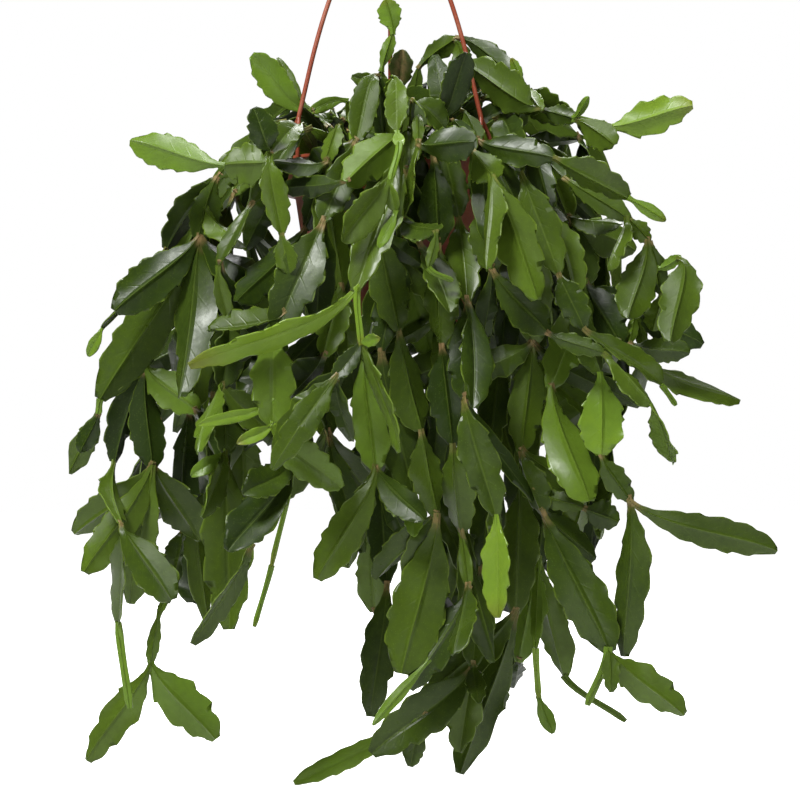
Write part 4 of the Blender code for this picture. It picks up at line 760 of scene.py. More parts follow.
# The segments from whose ends a gap can be reached, best first
def gapJoints(joints, x, z, rule):
    rows = []
    low, high = rule["reach"]
    for order, (name, runs, segment) in enumerate(joints):
        end = segment["end"]
        jointX, jointZ = shown(end)
        away = math.hypot(jointX - x, jointZ - z)
        hanging = z > gapSpan["crown"] or jointZ > z + gapSpan["above"] * away
        if low < away < high and hanging and end.y < rule["back"]:
            behind = abs(-end.y / mm - gapSpan["depth"])
            rows.append((abs(away - rule["best"]) + rule["behind"] * behind, name, order))
    return [joints[order] for distance, name, order in sorted(rows)[:rule["joints"]]]


def closeGap(joints, space, x, z, draw, rule, suits):
    low, high = rule["length"]
    for name, runs, segment in gapJoints(joints, x, z, rule):
        place = segment["end"]
        for attempt in range(rule["tries"]):
            chord = seen(x * mm, z * mm, -place.y + draw.uniform(*rule["deeper"])) - place
            length = max(low, min(high, chord.length * draw.uniform(*rule["past"])))
            width = draw.uniform(*rule["width"]) * (1.0 - rule["narrowing"] * attempt)
            branch = makeSegment(sunkEnd(segment), place + chord.normalized() * length,
                                 width * mm * min(1.0, length / rule["fullLength"]),
                                 draw.uniform(-rule["turn"], rule["turn"]), toViewer,
                                 name + rule["mark"] + str((int(x), int(z))), "plain")
            branch["extra"] = rule is not coverRule
            if suits(branch) and space.isClear(name, branch, rule["clearance"]):
                keepBranch(name, runs, branch, space, joints)
                return 1
    return 0


def keepBranch(name, runs, branch, space, joints):
    space.keep(name, branch)
    runs.append({"segments": [branch]})
    joints.append((name, runs, branch))


# Further segments, for the scene alone, that thicken the crown, the sides and the back. None hides
# much of the stems that the front view shows
thickenRule = {"seed": 7, "wishes": 2600, "limit": 240, "length": (0.055, 0.082),
               "width": (22.0, 33.0), "turn": 60.0, "clearance": 0.0005, "crownShare": 0.3,
               "crownDrop": 0.03, "axis": 0.03, "outward": (-0.25, 0.6), "ahead": 0.15,
               "drop": {True: (-0.5, 0.5), False: (0.5, 1.1)}}


# The share of a segment that the front view would see in front of the grown stems
def shareAhead(segment, grown):
    ahead = 0
    for step in range(1, 6):
        place, along, across, out = section(segment, step / 5)
        for side in (-0.6, 0.0, 0.6):
            way = place + across * segment["half"] * side - eyePlace
            reach = grown.ray_cast(eyePlace, way.normalized())[3]
            ahead += reach is not None and reach > way.length
    return ahead / 15


def thicken(stems, space, grown):
    draw = random.Random(thickenRule["seed"])
    joints = stemJoints(stems)
    crown = -potSizes["rimDrop"] - thickenRule["crownDrop"]
    turn = thickenRule["turn"]
    added = 0
    for wish in range(thickenRule["wishes"]):
        if added >= thickenRule["limit"]:
            break
        high = draw.random() < thickenRule["crownShare"]
        chosen = [joint for joint in joints if (joint[2]["end"].z > crown) == high]
        name, runs, segment = chosen[draw.randrange(len(chosen))]
        place = segment["end"]
        outward = Vector((place.x, place.y, 0.0))
        if outward.length < thickenRule["axis"]:
            outward = Vector((draw.uniform(-1.0, 1.0), draw.uniform(-1.0, 1.0), 0.0))
        outward.normalize()
        swing = Vector((-outward.y, outward.x, 0.0)) * draw.uniform(-1.0, 1.0)
        drop = Vector((0.0, 0.0, draw.uniform(*thickenRule["drop"][high])))
        way = outward * draw.uniform(*thickenRule["outward"]) + swing - drop
        end = place + way.normalized() * draw.uniform(*thickenRule["length"])
        branch = makeSegment(sunkEnd(segment), end, draw.uniform(*thickenRule["width"]) * mm,
                             draw.uniform(-turn, turn), outward, name + "more" + str(wish), "plain")
        branch["extra"] = True
        if (fitsFront(branch) and shareAhead(branch, grown) < thickenRule["ahead"]
                and space.isClear(name, branch, thickenRule["clearance"])):
            keepBranch(name, runs, branch, space, joints)
            added += 1
    print("thickened with", added, "segments")


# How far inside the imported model's box the added segments grow and all blades stay
boxMargins = {"extra": 0.008, "blade": 0.0014}


# Whether a segment stays inside the box and the front view's outline, and off its open gaps
def fitsFront(segment):
    margin = boxMargins["extra"]
    for step in range(1, 11):
        place, along, across, out = section(segment, step / 10)
        half = segment["half"] * (0.8 if 3 < step < 9 else 0.3)
        for side in (-1.0, 0.0, 1.0):
            edge = place + across * half * side
            boxed = all(low + margin < value < high - margin
                        for value, low, high in zip(edge, *cadBox))
            if not boxed or not insideOutline(edge) or inGaps(*shown(edge), gapRule["open"]):
                return False
    return True


# The pattern blades. Each is modelled once at unit size, 2 wide, 1 long and 2 thick at the midrib:
# reach is the half outline from base to tip, teeth the places of its notches, left then right
bladeColumns = (-1.0, -0.9, -0.55, -0.15, 0.0, 0.15, 0.55, 0.9, 1.0)
farColumns = (-1.0, 0.0, 1.0)
bladeThickness = ((0.0, 1.0), (0.15, 0.70), (0.55, 0.60), (0.9, 0.52), (1.0, 0.40))
lanceReach = ((0.0, 0.15), (0.06, 0.15), (0.14, 0.34), (0.24, 0.62), (0.34, 0.88), (0.44, 1.0),
              (0.56, 0.98), (0.70, 0.88), (0.82, 0.72), (0.91, 0.52), (0.97, 0.34), (1.0, 0.24))
fullReach = ((0.0, 0.15), (0.06, 0.15), (0.14, 0.30), (0.24, 0.52), (0.36, 0.80), (0.48, 0.95),
             (0.62, 1.0), (0.76, 0.92), (0.87, 0.72), (0.94, 0.50), (0.98, 0.34), (1.0, 0.24))
slimReach = ((0.0, 0.2), (0.08, 0.2), (0.24, 0.55), (0.45, 0.95), (0.60, 1.0), (0.80, 0.85),
             (0.93, 0.52), (1.0, 0.20))
patternBlades = {
    "lanceFour": {"reach": lanceReach, "rows": 27, "depth": 0.30,
                  "teeth": ((0.33, 0.52, 0.70, 0.89), (0.24, 0.41, 0.60, 0.78, 0.93))},
    "lanceThree": {"reach": lanceReach, "rows": 27, "depth": 0.34,
                   "teeth": ((0.37, 0.63, 0.85), (0.27, 0.50, 0.74, 0.93))},
    "fullFive": {"reach": fullReach, "rows": 27, "depth": 0.24,
                 "teeth": ((0.26, 0.41, 0.56, 0.70, 0.85), (0.34, 0.48, 0.63, 0.78, 0.93))},
    "fullUneven": {"reach": fullReach, "rows": 27, "depth": 0.28,
                   "teeth": ((0.30, 0.44, 0.67, 0.78, 0.93), (0.22, 0.48, 0.59, 0.82))},
    "slim": {"reach": slimReach, "rows": 20, "depth": 0.22,
             "teeth": ((0.40, 0.62, 0.84), (0.30, 0.52, 0.74))},
    "slimSmooth": {"reach": slimReach, "rows": 16, "depth": 0.10,
                   "teeth": ((0.45, 0.75), (0.35, 0.62))},
    "stalk": {"reach": ((0.0, 1.0), (0.5, 0.85), (0.94, 0.95), (1.0, 0.6)),
              "rows": 8, "depth": 0.0, "teeth": ((), ())},
    "far": {"reach": lanceReach, "columns": farColumns, "rows": 12, "depth": 0.32,
            "teeth": ((0.417, 0.667, 0.917), (0.333, 0.583, 0.833))},
}
nearPatterns = ("lanceFour", "lanceThree", "fullFive", "fullUneven")


# Teeth stand between two shares of the length. Each swells to a rounded crest and steps back at its
# notch, so that it points towards the tip
toothForm = {"from": 0.14, "to": 0.985, "crest": 0.9, "notch": 0.75, "tip": 0.2, "middle": 0.7}


# How far a tooth stands out at a share of the length
def toothReach(share, teeth):
    last = toothForm["from"]
    for notch in teeth:
        if share <= notch:
            rise = (share - last) / (notch - last)
            if rise < toothForm["crest"]:
                return math.sin(0.5 * math.pi * max(0.0, rise))
            return toothForm["notch"]
        last = notch
    return toothForm["tip"]


def deselectAll():
    if bpy.context.object and bpy.context.object.mode != "OBJECT":
        bpy.ops.object.mode_set(mode="OBJECT")
    bpy.ops.object.select_all(action="DESELECT")


def selectVerts(piece, chosen):
    bm = bmesh.from_edit_mesh(piece.data)
    for vertex in bm.verts:
        vertex.select = chosen(vertex.co)
    bm.select_flush_mode()
    bmesh.update_edit_mesh(piece.data)


# A pattern blade: a grid pulled into the outline row by row, its teeth pushed out, then thickened
def modelBlade(name, settings):
    deselectAll()
    rows = settings["rows"]
    places = settings.get("columns", bladeColumns)
    columns = len(places) - 1
    bpy.ops.mesh.primitive_grid_add(x_subdivisions=columns, y_subdivisions=rows, size=2.0,
                                    location=(0.0, 0.0, 0.0))
    blade = bpy.context.object
    blade.name = "pattern_" + name
    bpy.ops.object.mode_set(mode="EDIT")
    bpy.ops.mesh.select_all(action="SELECT")
    bpy.ops.transform.translate(value=(0.0, 1.0, 0.0))
    bpy.ops.transform.resize(value=(1.0, 0.5, 1.0), center_override=(0.0, 0.0, 0.0))
    for column, place in enumerate(places):
        even = -1.0 + 2.0 * column / columns
        if abs(even - place) > 0.001:
            selectVerts(blade, lambda co: abs(co.x - even) < 0.002)
            bpy.ops.transform.translate(value=(place - even, 0.0, 0.0))
            selectVerts(blade, lambda co: False)
    for row in range(rows + 1):
        share = row / rows
        reach = readLine(settings["reach"], share)
        selectVerts(blade, lambda co: abs(co.y - share) < 0.001)
        bpy.ops.transform.resize(value=(reach, 1.0, 1.0), center_override=(0.0, share, 0.0))
        for side, teeth in zip((-1.0, 1.0), settings["teeth"]):
            push = toothReach(share, teeth) - toothForm["middle"]
            push = side * settings["depth"] * push * min(reach, 1.0)
            if teeth and toothForm["from"] < share < toothForm["to"]:
                selectVerts(blade, lambda co: abs(co.y - share) < 0.001
                            and co.x * side > 0.9 * reach)
                bpy.ops.transform.translate(value=(push, 0.0, 0.0))
    bpy.ops.object.mode_set(mode="OBJECT")
    group = blade.vertex_groups.new(name="thickness")
    uv = blade.data.uv_layers[0].data
    for index in range(len(blade.data.vertices)):
        thickness = readLine(bladeThickness, abs(places[index % (columns + 1)]))
        group.add([index], thickness, "REPLACE")
    for loop in blade.data.loops:
        row, column = divmod(loop.vertex_index, columns + 1)
        uv[loop.index].uv = (0.5 + 0.5 * places[column], row / rows)
    blade.data.uv_layers[0].name = "blade"
    solid = blade.modifiers.new("Thickness", "SOLIDIFY")
    solid.thickness = 2.0
    solid.offset = 0.0
    solid.vertex_group = "thickness"
    bpy.ops.object.modifier_apply(modifier="Thickness")
    blade.vertex_groups.clear()
    bpy.ops.object.shade_smooth_by_angle(angle=math.radians(40.0))
    return blade


# Which pattern a segment takes
def patternOf(segment, draw):
    if segment["kind"] == "stalk":
        return "stalk"
    if segment["kind"] == "young":
        return "slim" if draw.random() < 0.6 else "slimSmooth"
    if segment.get("extra"):
        return "far"
    return nearPatterns[draw.randrange(len(nearPatterns))]


# How blades are bent. As shares of the length, the face has turned at turnIn, the blade has its
# full form at fullFrom, its neck ends at neckTo and neckBlend, and its tip thins from tipFrom
bladeForm = {"narrowed": 0.94, "twist": 0.6, "fold": 0.26, "bulge": (0.04, 0.11), "groove": 0.04,
             "grooveWidth": 0.16, "wave": 1.7, "ripple": (0.02, 0.07), "rippleTurns": (14.0, 22.0),
             "turnIn": 0.25, "fullFrom": 0.3, "neckTo": 0.16, "neckBlend": 0.2, "tipFrom": 0.9,
             "tipThinner": 0.45, "eases": (1.0, 0.6, 0.2), "over": 0.0005}


# The frame of a blade at a share of its length: its face turns from the last blade's to its own
def bladeFrame(segment, share):
    place, along, across, out = section(segment, max(share, 0.02))
    place = place + along * min(0.0, share - 0.02) * segment["length"]
    blend = min(1.0, max(0.0, share / bladeForm["turnIn"]))
    face = segment["startFace"].lerp(segment["face"], blend * blend * (3.0 - 2.0 * blend))
    out = (face - along * face.dot(along)).normalized()
    return place, along.cross(out), out


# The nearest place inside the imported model's box
def inBox(place):
    margin = boxMargins["blade"]
    return Vector([min(max(value, low + margin), high - margin)
                   for value, low, high in zip(place, *cadBox)])


# The chances of one blade's form. Less ease gives a flatter and narrower blade
def bladeChances(segment, draw, ease):
    stalk = segment["kind"] == "stalk"
    half = segment["half"] * (1.0 if stalk else bladeForm["narrowed"] * (0.7 + 0.3 * ease))
    return {
        "stalk": stalk, "half": half,
        "fold": (segment["cup"] + draw.uniform(0.0, bladeForm["fold"])) * ease,
        "bulge": draw.uniform(*bladeForm["bulge"]) * half,
        "ripple": draw.uniform(*bladeForm["ripple"]) * half,
        "rippleTurns": draw.uniform(*bladeForm["rippleTurns"]),
        "rippleStart": draw.uniform(0.0, 6.28),
        "twist": draw.uniform(-1.0, 1.0) * bladeForm["twist"] * ease,
        "wave": bladeForm["wave"] * segment["wave"] * half * ease,
    }


# How far a blade's middle surface stands out at a point: folded at the midrib, each half swelling
# between midrib and margin, with waved and rippled margins
def bladeLift(segment, form, away, side, share):
    half = form["half"]
    full = min(1.0, share / bladeForm["fullFrom"])
    lift = form["fold"] * away * half + full * form["bulge"] * math.sin(math.pi * min(1.0, away))
    lift -= full * bladeForm["groove"] * half * max(
        0.0, 1.0 - away / bladeForm["grooveWidth"])
    lift += form["wave"] * away ** 2 * math.sin(segment["phase"] + side * 1.3 + 9.0 * share)
    return lift + full * form["ripple"] * away ** 3 * math.sin(
        form["rippleStart"] + side * 2.0 + form["rippleTurns"] * share)


# The places of a pattern's vertices on its segment, and how far the furthest is outside the box
def bladePlaces(pattern, segment, form):
    frames = {}
    places = []
    over = 0.0
    neckHalf = stemSizes["neckHalfWidth"]
    for vertex in pattern.data.vertices:
        x, share, z = vertex.co
        key = round(share, 4)
        if key not in frames:
            place, across, out = bladeFrame(segment, share if share > 0.001 else -0.02)
            turn = Matrix.Rotation(form["twist"] * (share - 0.5), 3, across.cross(out))
            frames[key] = place, turn @ across, turn @ out
        place, across, out = frames[key]
        side = -1.0 if x < 0.0 else 1.0
        away = abs(x)
        if form["stalk"]:
            depth = z * min(form["half"], stemSizes["stalkHalfDepth"])
            places.append(place + across * x * form["half"] + out * depth)
            continue
        base = max(0.0, 1.0 - share / bladeForm["neckTo"])
        neckPart = x / max(away, 0.15) * base * max(0.0, neckHalf - 0.15 * form["half"])
        middle = (place + across * (x * form["half"] + neckPart)
                  + out * bladeLift(segment, form, away, side, share))
        inside = inBox(middle)
        over = max(over, (middle - inside).length)
        neckShare = max(0.0, 1.0 - share / bladeForm["neckBlend"]) ** 2
        depth = stemSizes["bladeHalfDepth"] * (1.0 - neckShare)
        depth += stemSizes["neckHalfDepth"] * neckShare
        thinner = bladeForm["tipThinner"] * max(0.0, (share - bladeForm["tipFrom"]) / 0.1)
        places.append(inside + out * z * depth * (1.0 - thinner))
    return places, over


# A copy of a pattern blade bent along its segment. One that would leave the box is bent less
def bendBlade(pattern, segment, seed, tone):
    for ease in bladeForm["eases"]:
        form = bladeChances(segment, random.Random(seed), ease)
        places, over = bladePlaces(pattern, segment, form)
        if over < bladeForm["over"]:
            break
    mesh = pattern.data.copy()
    for vertex, place in zip(mesh.vertices, places):
        vertex.co = place
    colours = mesh.color_attributes.new("tone", "FLOAT_COLOR", "POINT")
    colours.data.foreach_set("color", tone * len(mesh.vertices))
    return mesh


# The ages of blades that the front view shows young and bright or old, by stem and (run, segment):
# age runs from 0, fresh, to 1, mature. The values are partly painted light and shade: a blade seen
# in light is given a lower, brighter value, and one in shade a higher, darker one
listedAgesAndPaintedLight = {
    "bright_front": {(0, 2): 0.5, (0, 4): 0.6, (1, 0): 0.35, (1, 1): 0.4, (1, 2): 0.42,
                     (2, 0): 0.22, (6, 0): 0.58},
    "centre_front": {(5, 0): 0.5, (1, 1): 0.55, (1, 2): 0.6},
    "left_front": {(0, 1): 0.85, (0, 4): 0.45, (5, 0): 0.85}, "left_reach": {(0, 4): 0.3},
    "upright_left": {(0, 2): 0.58}, "upper_left": {(0, 2): 0.35},
    "outer_left": {(0, 3): 0.75, (2, 0): 0.88, (5, 0): 0.92},
    "pale_left": {(3, 0): 0.92, (5, 0): 0.85}, "broad_left": {(0, 6): 0.78},
    "lower_left": {(0, 8): 0.55, (1, 0): 0.4}, "bottom_front": {(0, 6): 0.78},
    "bottom_middle": {(0, 2): 0.92, (0, 4): 1.0},
    "mid_right": {(0, 4): 0.88, (0, 5): 0.25, (1, 0): 0.96},
    "right_front": {(0, 3): 0.68, (1, 0): 0.6}, "right_corky": {(0, 2): 0.78},
    "long_right": {(0, 3): 0.7}, "right_low": {(0, 4): 0.88},
    "right_drop": {(0, 4): 0.38, (1, 0): 0.78}, "lower_right": {(0, 6): 0.6},
    "top_leaf": {(0, 3): 0.25}, "high_right": {(1, 1): 0.25},
    "old_crown": {(0, 0): 1.0, (0, 1): 1.0},
}
listedCork = {("old_crown", 0, 0): 0.6, ("old_crown", 0, 1): 0.5}
# Stems whose blades are all old and dark. The crown's are old; for the inner, lining and middle
# stems the darkness is also painted shade, for the shade deep inside the foliage
oldAndShadedStems = ("crown_1", "crown_2", "crown_3", "crown_4", "old_crown", "dark_middle", "lining_1",
            "lining_2", "inner_1", "inner_2")
# The old range, the darkest, is also given to every added segment, as painted shade for blades
# inside and behind the foliage
ageChances = {"old": (0.85, 1.0), "usual": (0.62, 1.0), "shoot": (0.2, 0.7), "tip": (0.35, 0.65),
              "tipShare": 0.15}


# A blade's value on the leaf colour ramp: its age and, for listed blades, inner stems and added
# segments, painted light and shade
def ageOf(name, number, index, segment, last, draw):
    listed = listedAgesAndPaintedLight.get(name, {}).get((number, index))
    if listed is not None:
        return listed
    if segment.get("extra") or name in oldAndShadedStems:
        return draw.uniform(*ageChances["old"])
    ageAndShade = draw.uniform(*ageChances["usual"])
    if segment["kind"] not in ("notched", "plain"):
        ageAndShade = draw.uniform(*ageChances["shoot"])
    elif last and draw.random() < ageChances["tipShare"]:
        ageAndShade = draw.uniform(*ageChances["tip"])
    return ageAndShade


# One stem: its blades, each a bent copy of a pattern, joined in one mesh
def makeStem(name, runs, patterns, material):
    blades = []
    for number, run in enumerate(runs):
        for index, segment in enumerate(run["segments"]):
            draw = random.Random(name + "blade" + str((number, index)))
            last = index == len(run["segments"]) - 1
            order = index - 1 if number == 0 else index
            ageAndShade = ageOf(name, number, order, segment, last, draw)
            cork = listedCork.get((name, number, order), 0.0)
            pattern = patterns[patternOf(segment, draw)]
            seed = name + "form" + str((number, index))
            mesh = bendBlade(pattern, segment, seed, (ageAndShade, draw.random(), cork, 1.0))
            blade = bpy.data.objects.new(name, mesh)
            bpy.context.scene.collection.objects.link(blade)
            blades.append(blade)
    finishPiece(joinPieces(blades), "leafy_stem_" + name, material, "leaf_skin", "stem_" + name)


# Shader helpers. An input's value is a number, a colour as a tuple, or another node's output
def setInput(tree, node, slot, value):
    if isinstance(value, bpy.types.NodeSocket):
        tree.links.new(value, node.inputs[slot])
    else:
        node.inputs[slot].default_value = (*value, 1.0) if isinstance(value, tuple) else value


def addNode(tree, kind, inputs=None, **settings):
    node = tree.nodes.new(kind)
    for name, value in settings.items():
        setattr(node, name, value)
    for slot, value in (inputs or {}).items():
        setInput(tree, node, slot, value)
    return node


def mathNode(tree, operation, first, second=0.0):
    return addNode(tree, "ShaderNodeMath", {0: first, 1: second}, operation=operation).outputs[0]


def times(tree, first, second):
    return mathNode(tree, "MULTIPLY", first, second)


def spread(tree, value, fromLow, fromHigh, toLow=0.0, toHigh=1.0):
    inputs = {"Value": value, "From Min": fromLow, "From Max": fromHigh, "To Min": toLow,
              "To Max": toHigh}
    node = addNode(tree, "ShaderNodeMapRange", inputs, interpolation_type="SMOOTHSTEP")
    return node.outputs["Result"]


# A colour with another laid over it where the mask is 1
def layOver(tree, colour, mask, over):
    inputs = {0: mask, 6: colour, 7: over}
    return addNode(tree, "ShaderNodeMix", inputs, data_type="RGBA").outputs[2]


# A node group with numbers as its inputs: the group, its inputs, its end, and the object's place
def newGroup(name, inputs, outputs):
    group = bpy.data.node_groups.new(name, "ShaderNodeTree")
    for label, value in inputs.items():
        socket = group.interface.new_socket(label, in_out="INPUT", socket_type="NodeSocketFloat")
        socket.default_value = value
    for label in outputs:
        group.interface.new_socket(label, in_out="OUTPUT", socket_type="NodeSocketFloat")
    place = addNode(group, "ShaderNodeTexCoord").outputs["Object"]
    return group, addNode(group, "NodeGroupInput").outputs, addNode(group, "NodeGroupOutput"), place


# Patches: a slow and a fine noise over the object, for uneven colour and gloss
def patchGroup():
    group, given, end, place = newGroup(
        "patches", {"Slow Scale": 20.0, "Fine Scale": 200.0, "Fine Share": 0.4},
        ("Patches", "Fine"))
    noises = []
    for label, detail in (("Slow Scale", 3.0), ("Fine Scale", 2.0)):
        inputs = {"Vector": place, "Scale": given[label], "Detail": detail}
        noises.append(addNode(group, "ShaderNodeTexNoise", inputs).outputs["Fac"])
    inputs = {0: given["Fine Share"], 2: noises[0], 3: noises[1]}
    both = addNode(group, "ShaderNodeMix", inputs, data_type="FLOAT").outputs[0]
    setInput(group, end, "Patches", both)
    setInput(group, end, "Fine", noises[1])
    return group


# Specks: small round spots scattered over the object, as a mask
def speckGroup():
    group, given, end, place = newGroup(
        "specks", {"Scale": 600.0, "Size": 0.25, "Share": 0.4}, ("Specks",))
    cells = addNode(group, "ShaderNodeTexVoronoi", {"Vector": place, "Scale": given["Scale"]})
    chance = addNode(group, "ShaderNodeSeparateColor", {0: cells.outputs["Color"]}).outputs[0]
    near = mathNode(group, "LESS_THAN", cells.outputs["Distance"], given["Size"])
    chosen = mathNode(group, "LESS_THAN", chance, given["Share"])
    setInput(group, end, "Specks", times(group, near, chosen))
    return group


patches, specks = patchGroup(), speckGroup()


def addPatches(tree, slow, fine, share):
    inputs = {"Slow Scale": slow, "Fine Scale": fine, "Fine Share": share}
    return addNode(tree, "ShaderNodeGroup", inputs, node_tree=patches).outputs


def addSpecks(tree, scale, size, share):
    inputs = {"Scale": scale, "Size": size, "Share": share}
    return addNode(tree, "ShaderNodeGroup", inputs, node_tree=specks).outputs[0]


def newMaterial(name):
    material = bpy.data.materials.new(name)
    material.use_nodes = True
    tree = material.node_tree
    return material, tree, tree.nodes["Principled BSDF"]


def finishShader(tree, shader, colour, roughness, height, looks):
    strength, distance = looks["bump"]
    bump = addNode(tree, "ShaderNodeBump", {"Strength": strength, "Distance": distance,
                                            "Height": height})
    for slot, value in (("Base Color", colour), ("Roughness", roughness),
                        ("Normal", bump.outputs[0]), ("Specular IOR Level", looks["specular"])):
        setInput(tree, shader, slot, value)


# Patches are (slow scale, fine scale, fine share), specks (scale, size, share), and bump (strength,
# distance). The shares say how strongly each layer shows
leafLooks = {
    # The last, darkest stop is darker than a mature blade: painted shade for blades deep in the
    # foliage
    "agesAndShade": ((0.0, (0.105, 0.165, 0.013)), (0.3, (0.066, 0.115, 0.010)),
             (0.6, (0.037, 0.061, 0.005)), (1.0, (0.010, 0.019, 0.0020))),
    "uneven": 0.55, "drift": 0.22, "pale": (0.095, 0.140, 0.022), "cork": (0.170, 0.110, 0.048),
    "red": (0.11, 0.030, 0.010), "margin": (0.100, 0.150, 0.014), "midribWidth": 0.07,
    "veins": 6.0, "veinSlant": 1.1, "patches": (26.0, 260.0, 0.35), "specks": (760.0, 0.24, 0.35),
    "shares": {"midrib": 0.20, "vein": 0.04, "margin": 0.40, "blush": 0.35, "woody": 0.75,
               "specks": 0.22},
    "relief": {"midrib": 0.30, "vein": -0.14, "fine": 0.14}, "corkRoughness": 0.8,
    "roughness": (0.27, 0.42), "bump": (0.55, 0.0012), "specular": 0.14,
}


# Leaf skin: green by each blade's age and painted shade, darkest where a blade lies in shade, with a
# paler midrib, faint side veins and a thin margin, tan cork at old joints, and a waxy, slightly
# uneven gloss
def leafMaterial():
    material, tree, shader = newMaterial("leafSkin")
    shares, relief = leafLooks["shares"], leafLooks["relief"]
    tone = addNode(tree, "ShaderNodeAttribute", attribute_name="tone").outputs["Color"]
    ageAndShade, chance, cork = addNode(tree, "ShaderNodeSeparateColor", {0: tone}).outputs
    uv = addNode(tree, "ShaderNodeUVMap", uv_map="blade").outputs[0]
    place = addNode(tree, "ShaderNodeSeparateXYZ", {0: uv}).outputs
    along = place[1]
    aside = mathNode(tree, "ABSOLUTE", mathNode(tree, "SUBTRACT", place[0], 0.5))
    aside = times(tree, aside, 2.0)
    cloud = addPatches(tree, *leafLooks["patches"])

    ramp = addNode(tree, "ShaderNodeValToRGB")
    stops = ramp.color_ramp.elements
    while len(stops) < len(leafLooks["agesAndShade"]):
        stops.new(0.5)
    for stop, (share, colour) in zip(stops, leafLooks["agesAndShade"]):
        stop.position = share
        stop.color = (*colour, 1.0)
    shade = ageAndShade
    for value, amount in ((cloud[0], leafLooks["uneven"]), (chance, leafLooks["drift"])):
        value = times(tree, mathNode(tree, "SUBTRACT", value, 0.5), amount)
        shade = mathNode(tree, "ADD", shade, value)
    setInput(tree, ramp, 0, shade)
    colour = ramp.outputs[0]

    midrib = spread(tree, aside, leafLooks["midribWidth"] * 0.3, leafLooks["midribWidth"], 1.0, 0.0)
    slant = mathNode(tree, "SUBTRACT", times(tree, along, leafLooks["veins"]),
                     times(tree, aside, leafLooks["veinSlant"]))
    vein = spread(tree, mathNode(tree, "PINGPONG", slant, 0.5), 0.0, 0.09, 1.0, 0.0)
    vein = times(tree, vein, spread(tree, aside, 0.1, 0.75, 1.0, 0.0))
    margin = spread(tree, aside, 0.93, 0.995)
    fresh = spread(tree, ageAndShade, 0.18, 0.32, 1.0, 0.0)
    blush = times(tree, fresh, spread(tree, along, 0.72, 1.0))
    for mask, layer, over in ((midrib, "midrib", "pale"), (vein, "vein", "pale"),
                              (margin, "margin", "margin"), (blush, "blush", "red")):
        colour = layOver(tree, colour, times(tree, mask, shares[layer]), leafLooks[over])
    woody = times(tree, spread(tree, along, 0.02, 0.13, 1.0, 0.0),
                  times(tree, spread(tree, ageAndShade, 0.55, 0.9), shares["woody"]))
    corky = times(tree, cork, spread(tree, aside, 0.05, 0.7, 1.0, 0.15))
    brown = times(tree, mathNode(tree, "MAXIMUM", woody, corky),
                  spread(tree, cloud[1], 0.35, 0.6, 0.35, 1.0))
    colour = layOver(tree, colour, brown, leafLooks["cork"])
    dots = times(tree, addSpecks(tree, *leafLooks["specks"]), shares["specks"])
    colour = layOver(tree, colour, dots, leafLooks["pale"])

    gloss = spread(tree, cloud[0], 0.35, 0.65, *leafLooks["roughness"])
    roughness = mathNode(tree, "MAXIMUM", gloss, times(tree, brown, leafLooks["corkRoughness"]))
    height = mathNode(tree, "ADD", times(tree, midrib, relief["midrib"]),
                      times(tree, vein, relief["vein"]))
    height = mathNode(tree, "ADD", height, times(tree, cloud[1], relief["fine"]))
    finishShader(tree, shader, colour, roughness, height, leafLooks)
    return material


# The base and faded colours are darker than the plastic itself: painted shade, for the shade that
# the pot lies in under the foliage
plasticLooks = {"base": (0.130, 0.024, 0.010), "faded": (0.170, 0.042, 0.018),
                "dust": (0.16, 0.11, 0.075), "patches": (32.0, 420.0, 0.25),
                "specks": (420.0, 0.3, 0.25), "speckShare": 0.8, "roughness": (0.36, 0.56),
                "bump": (0.25, 0.0003), "specular": 0.22}


# Moulded terracotta-coloured plastic, a little faded and dusty, for the pot and its hanger. Its
# colours are darkened as painted shade for the pot, and the hanger shares them
def plasticMaterial(name, dustShare):
    material, tree, shader = newMaterial(name)
    cloud = addPatches(tree, *plasticLooks["patches"])
    colour = layOver(tree, plasticLooks["base"], spread(tree, cloud[0], 0.35, 0.7),
                     plasticLooks["faded"])
    dots = addSpecks(tree, *plasticLooks["specks"])
    dust = mathNode(tree, "MAXIMUM", times(tree, spread(tree, cloud[0], 0.48, 0.68), dustShare),
                    times(tree, dots, dustShare * plasticLooks["speckShare"]))
    colour = layOver(tree, colour, dust, plasticLooks["dust"])
    roughness = spread(tree, cloud[0], 0.4, 0.7, *plasticLooks["roughness"])
    finishShader(tree, shader, colour, roughness, cloud[1], plasticLooks)
    return material


soilLooks = {"dark": (0.018, 0.011, 0.007), "brown": (0.075, 0.045, 0.025),
             "pale": (0.42, 0.40, 0.36), "bark": (0.13, 0.068, 0.032),
             "patches": (90.0, 650.0, 0.5), "barkSpecks": (260.0, 0.42, 0.3), "barkShare": 0.7,
             "grains": (330.0, 0.26, 0.12), "roughness": (0.82, 1.0), "bump": (0.9, 0.0016),
             "specular": 0.5}


# Potting mix: dark crumbs with brown bark and a few pale grains
def soilMaterial():
    material, tree, shader = newMaterial("soilMix")
    cloud = addPatches(tree, *soilLooks["patches"])
    colour = layOver(tree, soilLooks["dark"], spread(tree, cloud[0], 0.38, 0.62),
                     soilLooks["brown"])
    bark = times(tree, addSpecks(tree, *soilLooks["barkSpecks"]), soilLooks["barkShare"])
    colour = layOver(tree, colour, bark, soilLooks["bark"])
    colour = layOver(tree, colour, addSpecks(tree, *soilLooks["grains"]), soilLooks["pale"])
    roughness = spread(tree, cloud[1], 0.3, 0.7, *soilLooks["roughness"])
    finishShader(tree, shader, colour, roughness, cloud[0], soilLooks)
    return material


# Leave edit mode with the mesh's doubles merged and its faces turned outwards
def closeMesh():
    bpy.ops.mesh.select_all(action="SELECT")
    bpy.ops.mesh.remove_doubles(threshold=0.00001)
    bpy.ops.mesh.normals_make_consistent(inside=False)
    bpy.ops.object.mode_set(mode="OBJECT")


